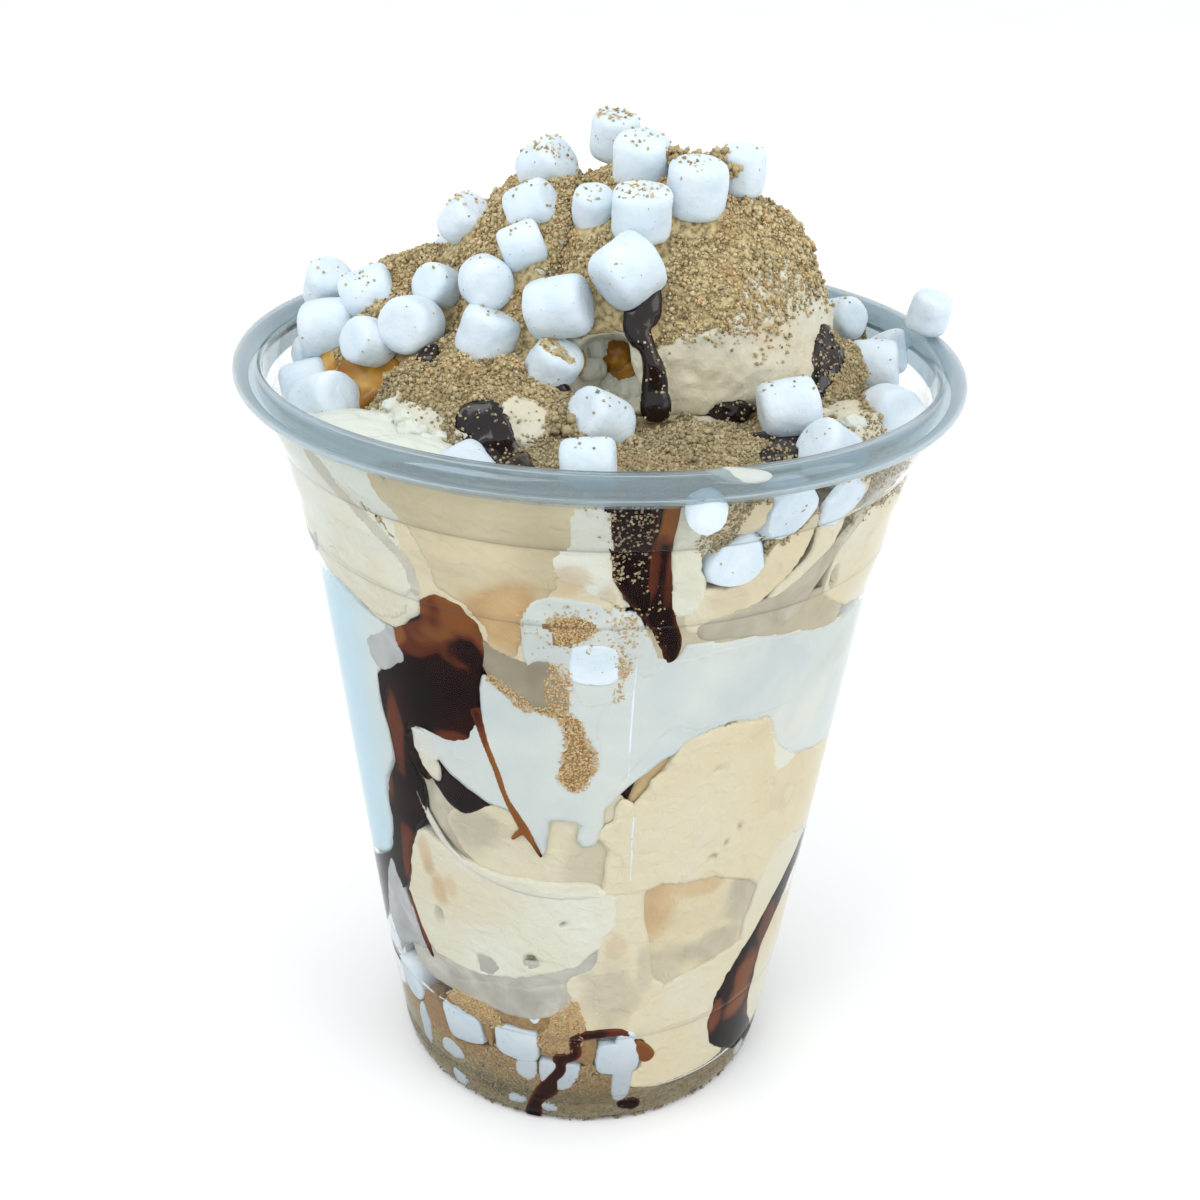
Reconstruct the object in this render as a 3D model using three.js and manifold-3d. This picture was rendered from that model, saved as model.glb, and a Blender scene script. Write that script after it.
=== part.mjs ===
// Ice cream sundae in a clear cup: scoops, marshmallow cream, chocolate sauce, biscuit crumbs and
// mini marshmallows. Millimetres, +Z up, with the origin at the middle of the cup's foot.
// Turns round the cup are in degrees from the front (-Y) towards the right (+X).
import * as THREE from "three";
import { mergeVertices } from "three/addons/utils/BufferGeometryUtils.js";
import Module from "manifold-3d";

const wasm = await Module();
wasm.setup();

// ---- Driving dimensions ----
const RIM_RADIUS = 49; // the standard 98 mm mouth
const CUP_HEIGHT = 113;
const SHEET = 0.6; // thickness of the cup's wall
const CURL_RADIUS = 1.65; // middle of the sheet that is rolled into the rim
const GAP = 0.3; // clearance between neighbouring pieces
const SIDES = 28; // facets round the cup
const FOOD_SIDES = 24; // facets round the food
const LID_TOP = 170; // above everything in the cup

// Middle of the sheet as radius and height, from the middle of the floor to below the rolled rim.
const SHEET_LINE = [
  [0, 1.9],
  [21, 1.9],
  [23.6, SHEET / 2],
  [27.7, SHEET / 2],
  [28.5, 1.2],
  [30.8, 17],
  [31.35, 20],
  [39, 84],
  [40.6, 90],
  [42.3, 98],
  [42.7, 101],
  [44.4, 105],
  [45.3, 108.6],
];

// Height of the food against the wall, by turn.
const FOOD_EDGE = [
  [-180, 101],
  [-140, 102],
  [-100, 101],
  [-65, 102],
  [-47, 104.5],
  [-36, 108.5],
  [-3, 110],
  [24, 109.5],
  [36, 104],
  [48, 99],
  [62, 97.5],
  [95, 97],
  [106, 100],
  [116, 110],
  [135, 109.5],
  [152, 103],
];
const PLATEAU = 107.5; // the food's height between the edge and the mounds
const EDGE_WIDTH = 8; // how far in from the wall the plateau starts

// The mounds: centre, then radii. The top scoop is a ball whose underside is flattened.
const MIDDLE_MOUND = { at: [-6, 5, 106], radii: [19, 19, 28] };
const LEFT_MOUND = { at: [-23, 4, 102], radii: [18, 18, 20.5] };
const FRONT_MOUND = { at: [-14, -11, 102], radii: [18, 18, 14] };
const TOP_SCOOP = { at: [8, 4, 110], radii: [23.5, 20, 26], under: 5 };
const CAVE = { at: [2, -15, 113], radii: [6.5, 7, 5.5] }; // the hollow under the top scoop's left

// ---- Helpers ----
const radians = (degrees) => (degrees * Math.PI) / 180;

function randomFrom(seed) {
  let state = seed;
  return () => {
    state = (state * 1664525 + 1013904223) % 4294967296;
    return state / 4294967296;
  };
}

// Straight-line interpolation in a list of [at, value], held at both ends.
function between(list, at) {
  const next = list.findIndex(([key]) => key > at);
  if (next === 0) return list[0][1];
  if (next < 0) return list[list.length - 1][1];
  const [a, from] = list[next - 1];
  const [b, to] = list[next];
  return from + ((to - from) * (at - a)) / (b - a);
}

// The same all the way round: the list starts at -180 degrees.
function around(list, turn) {
  const wrapped = ((((turn + 180) % 360) + 360) % 360) - 180;
  return between([...list, [180, list[0][1]]], wrapped);
}

const smooth = (t) => {
  const held = Math.min(Math.max(t, 0), 1);
  return held * held * (3 - 2 * held);
};

const wallRadius = (z) => between(SHEET_LINE.slice(4).map(([radius, height]) => [height, radius]), z);

// The point at a turn round the cup's axis.
function polar(turn, radius, z) {
  return [radius * Math.sin(radians(turn)), -radius * Math.cos(radians(turn)), z];
}

// Slow bumps that make food uneven, between -1 and 1.
function lumps(x, y, z, seed) {
  const a = Math.sin(x * 0.31 + seed * 1.7) * Math.cos(y * 0.27 - seed);
  const b = Math.sin(y * 0.42 + z * 0.19 + seed * 2.3);
  const c = Math.cos(z * 0.36 - x * 0.17 + seed * 0.9);
  return (a + b + c) / 3;
}

// A closed three.js geometry as a solid that faces outwards.
function solidOf(geometry) {
  const bare = geometry.clone();
  bare.deleteAttribute("normal");
  bare.deleteAttribute("uv");
  const merged = mergeVertices(bare, 1e-4);
  const triVerts = new Uint32Array(merged.index.array).filter((_, i, all) => {
    const first = i - (i % 3);
    const [a, b, c] = [all[first], all[first + 1], all[first + 2]];
    return a !== b && b !== c && c !== a;
  });
  const vertProperties = merged.attributes.position.array;
  const made = new wasm.Manifold(new wasm.Mesh({ numProp: 3, vertProperties, triVerts }));
  if (made.volume() > 0) return made;
  for (let i = 0; i < triVerts.length; i += 3) {
    [triVerts[i + 1], triVerts[i + 2]] = [triVerts[i + 2], triVerts[i + 1]];
  }
  return new wasm.Manifold(new wasm.Mesh({ numProp: 3, vertProperties, triVerts }));
}

// A closed body from a sphere's grid: place(u, k) gives the point at the share u round ring k,
// where ring 0 and the last ring are single points.
function ringed(sides, rings, place) {
  const geometry = new THREE.SphereGeometry(1, sides, rings);
  const { position, uv } = geometry.attributes;
  for (let i = 0; i < position.count; i += 1) {
    const ring = Math.round((1 - uv.getY(i)) * rings);
    const share = ((Math.round(uv.getX(i) * sides) + sides) % sides) / sides;
    position.setXYZ(i, ...place(share, ring));
  }
  return solidOf(geometry);
}

// A body of revolution about Z from its profile of [radius, height].
function turned(profile, sides = SIDES) {
  const points = profile.map(([radius, height]) => new THREE.Vector2(radius, height));
  return solidOf(new THREE.LatheGeometry(points, sides).rotateX(Math.PI / 2));
}

// The line moved sideways by a distance, to the left of its direction, with mitred corners.
function beside(line, distance) {
  return line.map(([x, y], i) => {
    const [px, py] = line[Math.max(i - 1, 0)];
    const [nx, ny] = line[Math.min(i + 1, line.length - 1)];
    const before = new THREE.Vector2(i ? x - px : nx - x, i ? y - py : ny - y).normalize();
    const last = i === line.length - 1;
    const after = new THREE.Vector2(last ? x - px : nx - x, last ? y - py : ny - y).normalize();
    const middle = before.clone().add(after).normalize();
    const reach = distance / Math.max(middle.dot(before), 0.5);
    return [Math.max(x - middle.y * reach, 0), y + middle.x * reach];
  });
}

// An outline's points, each [turn, height], as a smooth closed line with lengths in millimetres.
const TURN_LENGTH = radians(1) * 36; // a degree along the wall at half height
function smoothOutline(outline, count, grow = 0) {
  const corners = outline.map(([turn, z]) => new THREE.Vector3(turn * TURN_LENGTH, z, 0));
  const curve = new THREE.CatmullRomCurve3(corners, true, "centripetal");
  const points = curve.getSpacedPoints(count).slice(0, count);
  const flat = points.map((p) => new THREE.Vector2(p.x, p.y));
  const outwards = THREE.ShapeUtils.isClockWise(flat) ? 1 : -1;
  return flat.map((p, i) => {
    const along = flat[(i + 1) % count].clone().sub(flat[(i + count - 1) % count]).normalize();
    return [p.x - along.y * grow * outwards, p.y + along.x * grow * outwards];
  });
}

// The point on the wall, or as deep inside it as told, of a point of an outline.
function onWall([length, z], depth) {
  return polar(length / TURN_LENGTH, wallRadius(z) - depth, z);
}

// Food pressed against the wall: its outline there, rounded off towards the middle of the cup.
function pressed(outline, depth, grow = 0) {
  const sides = Math.round(outline.length * 1.7);
  const line = smoothOutline(outline, sides, grow);
  const middle = [0, 1].map((axis) => line.reduce((sum, p) => sum + p[axis], 0) / sides);
  const outside = [-26, -2];
  const steps = 1;
  return ringed(sides, outside.length + steps, (share, ring) => {
    if (ring === 0) return onWall(middle, outside[0]);
    const point = line[Math.round(share * sides)];
    if (ring < outside.length) return onWall(point, outside[ring]);
    const angle = ((ring - outside.length + 1) / (steps + 1)) * (Math.PI / 2);
    const last = ring === outside.length + steps;
    const scale = last ? 0 : Math.cos(angle);
    const inner = [0, 1].map((axis) => middle[axis] + (point[axis] - middle[axis]) * scale);
    return onWall(inner, (depth + grow) * Math.sin(last ? Math.PI / 2 : angle));
  });
}

// Sauce that lies against the wall as a thin flat body.
function spread(outline, depth, grow = 0) {
  const line = smoothOutline(outline, Math.round(outline.length * 1.5), grow);
  const shape = new THREE.Shape(line.map(([x, y]) => new THREE.Vector2(x, y)));
  const outside = 14;
  const geometry = new THREE.ExtrudeGeometry(shape, {
    depth: 1,
    steps: 1,
    bevelEnabled: false,
  });
  const { position } = geometry.attributes;
  for (let i = 0; i < position.count; i += 1) {
    const deep = position.getZ(i) > 0.5 ? depth + grow : -outside;
    position.setXYZ(i, ...onWall([position.getX(i), position.getY(i)], deep));
  }
  return solidOf(geometry);
}

// An uneven ball. The part below its middle is as tall as under says.
function lumpyBall({ at, radii, under = radii[2] }, seed, uneven, grow = 0, detail = 3) {
  const geometry = new THREE.IcosahedronGeometry(1, detail);
  const { position } = geometry.attributes;
  const point = new THREE.Vector3();
  for (let i = 0; i < position.count; i += 1) {
    point.fromBufferAttribute(position, i);
    const [x, y, z] = [0, 1, 2].map((axis) => point.getComponent(axis) * radii[axis]);
    const swell = 1 + (uneven * lumps(x, y, z, seed)) / radii[0];
    const tall = point.z < 0 ? under : radii[2];
    position.setXYZ(
      i,
      at[0] + point.x * (radii[0] * swell + grow),
      at[1] + point.y * (radii[1] * swell + grow),
      at[2] + point.z * (tall * swell + grow),
    );
  }
  return solidOf(geometry);
}

// A layer through the whole cup: bottom and top give a height for a turn and a share of the way
// out to the wall. Its rings lie closer together towards the wall.
function layer(bottom, top, inset = -0.6, rings = 2) {
  const reach = (z) => wallRadius(z) - inset;
  return ringed(FOOD_SIDES, rings * 2 + 1, (share, ring) => {
    const turn = share * 360;
    const upper = ring <= rings;
    const part = ((upper ? ring : rings * 2 + 1 - ring) / rings) ** 0.65;
    const surface = upper ? top : bottom;
    const radius = part * reach(surface(turn, part));
    return polar(turn, radius, surface(turn, part));
  });
}

const largest = (solid) => {
  const pieces = solid.decompose();
  return pieces.reduce((best, piece) => (piece.volume() > best.volume() ? piece : best));
};

// ---- Materials ----
const finish = (color, roughness, more = {}) =>
  new THREE.MeshStandardMaterial({ color, roughness, metalness: 0, ...more });
const CLEAR = { transparent: true, opacity: 0.3 };
const materials = {
  cup: () => finish(0xdfe8ea, 0.08, CLEAR),
  iceCream: () => finish(0xead9bb, 0.55),
  cream: () => finish(0xeceae4, 0.4),
  sauce: () => finish(0x2a120d, 0.2),
  crumbs: () => finish(0xb89a6c, 0.9),
  marshmallow: () => finish(0xe9f0f4, 0.75),
};

const sundae = new THREE.Group();

function addNode(name, solid, material) {
  const { vertProperties, triVerts, numProp } = solid.getMesh();
  const positions = new Float32Array((vertProperties.length / numProp) * 3);
  for (let i = 0; i < positions.length; i += 1) {
    positions[i] = vertProperties[Math.floor(i / 3) * numProp + (i % 3)];
  }
  const geometry = new THREE.BufferGeometry();
  geometry.setAttribute("position", new THREE.BufferAttribute(positions, 3));
  geometry.setIndex(new THREE.BufferAttribute(new Uint32Array(triVerts), 1));
  const mesh = new THREE.Mesh(geometry, material());
  mesh.name = name;
  sundae.add(mesh);
}

// ---- Cup ----
function curlLine() {
  const middle = [RIM_RADIUS - CURL_RADIUS - SHEET / 2, CUP_HEIGHT - CURL_RADIUS - SHEET / 2];
  const steps = 5;
  return Array.from({ length: steps + 1 }, (_, i) => {
    const angle = radians(180 - (280 * i) / steps);
    return [middle[0] + CURL_RADIUS * Math.cos(angle), middle[1] + CURL_RADIUS * Math.sin(angle)];
  });
}

function buildCup() {
  const line = [...SHEET_LINE, ...curlLine()];
  return turned([...beside(line, -SHEET / 2), ...beside(line, SHEET / 2).reverse()]);
}

// The room inside the cup and over its rim. It has fewer facets than the wall, so it keeps a little
// more than the gap from it. Only the heights at which the food's own outline bends are kept.
const FOOD_BENDS = [1.9, SHEET / 2, 1.2, 17, 84, 101, 108.6];
function buildCavity() {
  const away = SHEET / 2 + GAP + 0.15;
  const kept = beside(SHEET_LINE, away).filter((_, i) => FOOD_BENDS.includes(SHEET_LINE[i][1]));
  const mouth = kept[kept.length - 1][0];
  const over = [CUP_HEIGHT + GAP, RIM_RADIUS + 10];
  const rest = [[mouth, over[0]], [over[1], over[0]], [over[1], LID_TOP], [0, LID_TOP]];
  return turned([...kept, ...rest], FOOD_SIDES);
}

// ---- Heap ----
// Height of the food between the wall and the mounds.
function plateauTop(turn, part) {
  const radius = part * 45;
  const [x, y] = polar(turn, radius, 0);
  const edge = around(FOOD_EDGE, turn);
  const inwards = smooth((44 - radius) / EDGE_WIDTH);
  return edge + (PLATEAU - edge) * inwards + lumps(x * 2, y * 2, 0, 4) * 1.2;
}

// ---- Marshmallows ----
// Each is [x, y, z, turn, lean, size]: its middle, the way its axis points and leans from upright,
// and its size against the usual one.
const MARSHMALLOW_RADIUS = 3.4;
const MARSHMALLOW_HALF = 3.25;
const TOP_MARSHMALLOWS = [
  [1, 9, 138.5, 20, 10, 0.95],
  [-8, 7.5, 134.5, 60, 55, 1],
  [4.5, 0, 137, 0, 12, 1.1],
  [4.5, -8.5, 132.5, 0, 15, 1.05],
  [-1.5, -5, 132, 10, 25, 0.8],
  [11.5, -4.5, 135, 8, 10, 1.1],
  [17.5, 1.5, 136, 10, 5, 0.95],
  [-9.5, -2.5, 131.5, 70, 60, 0.9],
  [-10.5, -7, 127.5, 100, 70, 0.85],
  [-18.5, 2, 128.5, 50, 45, 0.9],
  [3, -14, 126.5, 120, 60, 1.15],
  [-15, -8.5, 123, 15, 85, 1],
  [-21.5, -4, 121, -35, 65, 0.85],
  [-5.5, -13.5, 121.5, 75, 75, 1.2],
  [-14.5, -12, 117, 100, 20, 1.05],
  [-6, -15.5, 114.5, 60, 35, 0.95],
  [-24.5, -9.5, 117.5, -20, 80, 1.05],
  [-30, -9.5, 115, -50, 70, 0.9],
  [-31, -1.5, 119, 95, 70, 1.05],
  [-37.5, 5, 118, 30, 35, 0.95],
  [-36, -2.5, 114.5, 80, 80, 1.15],
  [-39.5, 3, 109, 20, 75, 0.85],
  [-39, -6, 107.5, 95, 75, 1],
  [-35.5, -13.5, 108, 60, 65, 1.1],
  [0, -21.5, 109.5, -50, 60, 1.1],
  [-1, -38.5, 110, 90, 85, 1],
  [24, -17.5, 110.5, 95, 80, 1.15],
  [28.5, -25, 107.6, -60, 55, 1.05],
  [38.5, 7, 108.6, 80, 85, 1.05],
  [39.2, -4.5, 105.8, 20, 80, 1.1],
  [41.6, 13.5, 108.4, 40, 60, 0.9],
  [35.3, 20.5, 111.2, 40, 70, 0.9],
];
const HIDDEN_MARSHMALLOWS = [
  [-20, 18, 120.5, 130, 60, 1],
  [3, 20, 128.5, 200, 50, 1.05],
];
const RIM_MARSHMALLOW = [45.5, 8, 116.2, 60, 12, 0.85]; // it lies on the rolled rim
// On the wall, which flattens them: [turn, z, axis turn, lean, size].
const PRESSED_IN = 2.2; // how deep their middles are
const WALL_MARSHMALLOWS = [
  [0.5, 85, 0, 8, 0.95],
  [23, 99, 60, 80, 1.05],
  [31, 105, 40, 60, 1],
  [-35, 15.5, 60, 80, 1.05],
  [-17.5, 16, -10, 12, 1],
  [-5.5, 10.5, 10, 20, 0.9],
  [11, 14.2, 15, 8, 1],
  [-58, 16.5, -50, 70, 1.05],
];

// A short cylinder with rounded edges. Grown to make room for it, it is a plain prism.
function marshmallow(size, grow) {
  const sides = 7;
  const radius = MARSHMALLOW_RADIUS * size;
  const half = MARSHMALLOW_HALF * size + grow;
  const outer = radius + grow;
  if (grow) return turned([[0, -half], [outer, -half], [outer, half], [0, half]], sides);
  const [flat, straight] = [radius * 0.74, half * 0.62]; // where the rounding of the edges starts
  const upper = [[outer, straight], [flat, half], [0, half]];
  const lower = upper.map(([across, up]) => [across, -up]).reverse();
  return turned([...lower, ...upper], sides);
}

function placedMarshmallow([x, y, z, turn, lean, size], grow = 0) {
  return marshmallow(size, grow).rotate([lean, 0, 0]).rotate([0, 0, turn]).translate([x, y, z]);
}

function wallMarshmallow([turn, z, axisTurn, lean, size]) {
  const [x, y] = polar(turn, wallRadius(z) - PRESSED_IN, z);
  return [x, y, z, axisTurn, lean, size];
}

// ---- Crumb clumps and the sauce that runs down the top scoop ----
const CLUMP_COUNT = 12;
const CLUMP_SIZES = [1.3, 2.1];
const RIBBON_RADIUS = 1.5;
const RIBBON = [
  [2.5, 127],
  [4.5, 121.5],
  [5, 117],
  [6.5, 112.5],
  [7.2, 108],
]; // its places across and up, on the top scoop's front

function domeHeight({ at, radii }, x, y) {
  const left = 1 - ((x - at[0]) / radii[0]) ** 2 - ((y - at[1]) / radii[1]) ** 2;
  return left > 0.1 ? at[2] + radii[2] * Math.sqrt(left) : 0;
}

// Clumps of crumbs on the top scoop's dusted side, or on the mounds and the plateau round them.
function scatterClumps() {
  const random = randomFrom(20);
  const found = [];
  while (found.length < CLUMP_COUNT) {
    const [x, y] = polar(random() * 360, Math.sqrt(random()) * 27, 0);
    const size = CLUMP_SIZES[0] + random() * (CLUMP_SIZES[1] - CLUMP_SIZES[0]);
    const spin = random() * 180;
    const scoop = domeHeight(TOP_SCOOP, x, y);
    const mounds = [MIDDLE_MOUND, LEFT_MOUND, FRONT_MOUND].map((form) => domeHeight(form, x, y));
    const z = Math.max(scoop, ...mounds, PLATEAU);
    const clear = TOP_MARSHMALLOWS.every(([a, b]) => Math.hypot(a - x, b - y) > 5.2);
    const bare = x > 14 && y < 0 && z < 125;
    if (clear && !bare && Math.hypot(x, y) < 26) found.push({ x, y, z, size, spin, onScoop: z === scoop });
  }
  return found;
}

const clumps = scatterClumps();

function clumpsOn(onScoop, grow) {
  const flatness = 0.75;
  const solids = clumps
    .filter((clump) => clump.onScoop === onScoop)
    .map(({ x, y, z, size, spin }) => {
      const clump = new THREE.IcosahedronGeometry(size + grow, 0).scale(1, 0.85, flatness);
      return solidOf(clump.rotateZ(radians(spin)).translate(x, y, z));
    });
  return solids.reduce((joined, clump) => joined.add(clump));
}

// How far forward the top scoop reaches at a place across and up.
function scoopFront(x, z) {
  const { at, radii } = TOP_SCOOP;
  const left = 1 - ((x - at[0]) / radii[0]) ** 2 - (Math.max(z - at[2], 0) / radii[2]) ** 2;
  return at[1] - radii[1] * Math.sqrt(left);
}

function ribbon(grow) {
  const points = RIBBON.map(([x, z]) => new THREE.Vector3(x, scoopFront(x, z) - 0.4, z));
  const path = new THREE.CatmullRomCurve3(points);
  const section = new THREE.Shape();
  section.absarc(0, 0, RIBBON_RADIUS + grow, 0, Math.PI * 2);
  const options = { extrudePath: path, steps: 7, curveSegments: 6, bevelEnabled: false };
  return solidOf(new THREE.ExtrudeGeometry(section, options));
}

// ---- Outlines of the food on the wall, each point [turn, z] ----
const SCOOP_LOW_RIGHT = [
  [12, 7],
  [10.5, 15],
  [12, 22],
  [20, 28],
  [35, 30.5],
  [52, 32],
  [75, 33],
  [98, 29],
  [106, 18],
  [98, 7.5],
  [55, 6.5],
];
const SCOOP_LOW_LEFT = [
  [-50, 36],
  [-45, 28.5],
  [-30, 27],
  [-15, 29],
  [-4, 31.5],
  [4, 35],
  [9, 42],
  [7, 48.5],
  [-10, 48.5],
  [-30, 49.8],
  [-45, 52.5],
  [-52, 46],
];
const SCOOP_LOW_BACK = [
  [112, 10],
  [114, 34],
  [150, 42],
  [200, 40],
  [238, 33],
  [252, 20],
  [230, 9],
  [165, 7],
];
const SCOOP_MIDDLE_RIGHT = [
  [10, 48.5],
  [10, 56],
  [14, 65],
  [19, 73],
  [37, 73],
  [43, 66],
  [60, 61.5],
  [85, 56],
  [99, 50],
  [97, 42],
  [84, 39],
  [62, 45],
  [40, 46],
  [25, 47],
];
const SCOOP_UPPER_LEFT = [
  [-102, 90],
  [-103, 104],
  [-70, 106],
  [-50, 108],
  [-39, 104],
  [-33, 99.5],
  [-30.5, 95],
  [-33, 88],
  [-42, 84],
  [-56, 86],
  [-80, 89],
];
const SCOOP_UPPER_FRONT = [
  [-40, 113],
  [-32.5, 102],
  [-28, 94],
  [-26, 85],
  [-14, 83.5],
  [-11.5, 89],
  [-6, 95.5],
  [-3, 102],
  [-2.5, 113],
  [-20, 115],
];
const SCOOP_FRONT_RIGHT = [
  [-1.5, 113],
  [-1.5, 97],
  [4, 93],
  [11, 87.5],
  [24, 89],
  [34, 93],
  [39, 101],
  [36, 111],
  [18, 114],
];
const SCOOP_UPPER_RIGHT = [
  [44, 89.5],
  [45, 98],
  [58, 108],
  [85, 111],
  [107, 110],
  [109, 88],
  [85, 82.5],
  [58, 84],
];
const SCOOP_UPPER_BACK = [
  [118, 86],
  [115, 111],
  [150, 108],
  [200, 107],
  [236, 105],
  [246, 92],
  [225, 86],
  [170, 83],
];
const SAUCE_LEFT_POOL = [
  [-39, 69.5],
  [-44, 74],
  [-40.5, 79],
  [-40, 84],
  [-32.5, 87],
  [-31, 91.5],
  [-25, 92.3],
  [-20, 89],
  [-19.5, 84],
  [-21.5, 79],
  [-22, 73],
  [-26, 69.3],
  [-33, 69.5],
];
const SAUCE_LEFT_TAIL = [
  [-42, 78],
  [-47.5, 75],
  [-48, 69],
  [-45, 63],
  [-50, 57],
  [-52.5, 50],
  [-52, 45],
  [-58, 41],
  [-70, 36],
  [-88, 30],
  [-95, 23],
  [-84, 18],
  [-70, 24],
  [-60, 32],
  [-51, 37],
  [-46.5, 43],
  [-44, 50],
  [-37.5, 54],
  [-37, 58],
  [-41, 64],
  [-40, 71],
];
const SAUCE_RIGHT = [
  [98, 24],
  [88, 34],
  [74, 42.5],
  [60, 37.5],
  [50, 31],
  [41.5, 24],
  [38, 17.5],
  [41, 11.5],
  [50, 7],
  [62, 3],
  [72, 2.5],
  [64, 7],
  [57.5, 12],
  [55, 20],
  [55, 26],
  [62, 32],
  [73, 38],
  [84, 29],
  [92, 20],
];
const SAUCE_FRONT = [
  [1.5, 113],
  [2.5, 98],
  [8, 92],
  [11, 86.5],
  [14, 84],
  [16, 86.5],
  [14.5, 93],
  [12.5, 101],
  [12.5, 113],
  [7, 115],
];

// ---- Food ----
const MARSHMALLOW_CREAM_TOP = [
  [-180, 82],
  [-110, 85],
  [-85, 85.5],
  [-58, 86],
  [-42, 83.5],
  [-30, 81],
  [-21, 80],
  [-15, 78],
  [-9, 83],
  [-5, 90],
  [3, 92],
  [10, 88],
  [24, 87],
  [40, 86],
  [50, 83],
  [85, 81],
  [110, 80],
  [150, 80],
];
const MARSHMALLOW_CREAM_BOTTOM = [
  [-180, 44],
  [-130, 42],
  [-110, 33],
  [-60, 36],
  [-50, 53],
  [-44, 60],
  [-33, 68],
  [-21, 62.5],
  [-10, 59],
  [0, 59],
  [6, 63],
  [17, 72],
  [38, 72],
  [44, 63],
  [60, 61],
  [85, 55],
  [110, 46],
  [150, 46],
];
const CRUMB_PILE = [
  [-180, 6],
  [-90, 6],
  [-72, 9],
  [-60, 15],
  [-45, 19],
  [-30, 21],
  [-12, 24],
  [0, 23],
  [6, 13],
  [12, 7],
  [22, 5],
  [60, 5],
  [110, 6],
];

const fade = (list, centre) => (turn, part) =>
  centre + (around(list, turn) - centre) * smooth(part / 0.85);

const raised = (surface, by) => (turn, part) => surface(turn, part) + by;
const cavity = buildCavity();
const taken = []; // what later food is cut back from

// Keeps a piece of food inside the cup and clear of what is there, and adds it as a node.
// Faces that lie within the flatness of a plane are joined. The piece is grown by the gap and a
// little more before later food is cut by it, because both are then flattened.
function addFood(name, form, material) {
  const flatness = { body: 0.2, cutter: 0.25 };
  const room = form(0).intersect(cavity);
  const cut = taken.reduce((left, other) => left.subtract(other), room);
  taken.push(form(GAP + 0.3).simplify(flatness.cutter));
  addNode(name, largest(cut.simplify(flatness.body)), material);
}

// The same for food that ends at the surface of the heap.
const heap = (grow) => layer(() => -4, raised(plateauTop, grow), -0.6, 4);
function addUnderHeap(name, form, material) {
  addFood(name, (grow) => form(grow).intersect(heap(grow)), material);
}

addNode("cup", buildCup(), materials.cup);

let marshmallowCount = 0;
function addMarshmallow(place) {
  marshmallowCount += 1;
  const name = `marshmallow_${String(marshmallowCount).padStart(2, "0")}`;
  addFood(name, (grow) => placedMarshmallow(place, grow), materials.marshmallow);
}

WALL_MARSHMALLOWS.map(wallMarshmallow).forEach(addMarshmallow);

const leftSauce = (grow) => spread(SAUCE_LEFT_POOL, 3.5, grow).add(spread(SAUCE_LEFT_TAIL, 2.5, grow));
addFood("sauce_left", leftSauce, materials.sauce);
addFood("sauce_right", (grow) => spread(SAUCE_RIGHT, 2.5, grow), materials.sauce);
addUnderHeap("sauce_front", (grow) => spread(SAUCE_FRONT, 2.5, grow), materials.sauce);

const topScoop = (grow) =>
  lumpyBall(TOP_SCOOP, 3, 1.2, grow)
    .subtract(lumpyBall(CAVE, 5, 0.6, -grow, 1))
    .add(ribbon(grow))
    .add(clumpsOn(true, grow));
addFood("scoop_top", topScoop, materials.iceCream);

const scoops = {
  scoop_upper_front: [SCOOP_UPPER_FRONT, 20],
  scoop_front_right: [SCOOP_FRONT_RIGHT, 18],
  scoop_upper_left: [SCOOP_UPPER_LEFT, 19],
  scoop_upper_right: [SCOOP_UPPER_RIGHT, 22],
  scoop_upper_back: [SCOOP_UPPER_BACK, 20],
  scoop_middle_right: [SCOOP_MIDDLE_RIGHT, 26],
  scoop_low_right: [SCOOP_LOW_RIGHT, 26],
  scoop_low_back: [SCOOP_LOW_BACK, 26],
};
for (const [name, [outline, depth]] of Object.entries(scoops)) {
  addUnderHeap(name, (grow) => pressed(outline, depth, grow), materials.iceCream);
}

const CREAM_MIDDLE = [60, 82]; // heights of the marshmallow cream on the cup's axis
const creamBottom = fade(MARSHMALLOW_CREAM_BOTTOM, CREAM_MIDDLE[0]);
const creamTop = fade(MARSHMALLOW_CREAM_TOP, CREAM_MIDDLE[1]);
addFood(
  "marshmallow_cream",
  (grow) => layer(raised(creamBottom, -grow), raised(creamTop, grow)),
  materials.cream,
);

// The ice cream that is deeper in the cup and shows through the gaps at the wall.
const DEEPER = 6.5;
const crumbTop = fade(CRUMB_PILE, 8);
const lowerMiddle = (grow) =>
  layer(raised(crumbTop, GAP - grow), raised(creamBottom, grow - GAP), DEEPER - grow);
addFood(
  "scoop_low_left",
  (grow) => lowerMiddle(grow).add(pressed(SCOOP_LOW_LEFT, 24, grow)),
  materials.iceCream,
);
const MOUND_INSET = 5; // how far short of the wall the middle of the cup ends
const upperMiddle = (grow) =>
  layer(raised(creamTop, GAP - grow), () => LID_TOP, MOUND_INSET - grow, 1).intersect(heap(grow));
const mound = (grow) =>
  [MIDDLE_MOUND, LEFT_MOUND, FRONT_MOUND]
    .map((form, i) => lumpyBall(form, 11 + i, 1.4, grow, 2))
    .reduce((joined, ball) => joined.add(ball), upperMiddle(grow))
    .subtract(lumpyBall(CAVE, 5, 0.6, -grow, 1))
    .add(clumpsOn(false, grow));
addFood("scoop_mound", mound, materials.iceCream);
addFood("crumb_base", (grow) => layer(() => -2, raised(crumbTop, grow)), materials.crumbs);

[...TOP_MARSHMALLOWS, ...HIDDEN_MARSHMALLOWS, RIM_MARSHMALLOW].forEach(addMarshmallow);

export default sundae;
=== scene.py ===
"""Dresses the ice cream sundae cup: clear cup, soft food, crumbs, marshmallows, light and camera.

Lengths in this file are millimetres until a mesh or light is made, which is in metres. A turn is an
angle round the cup in degrees, from the front (-Y) towards the right (+X).
"""

import functools
import math

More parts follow.
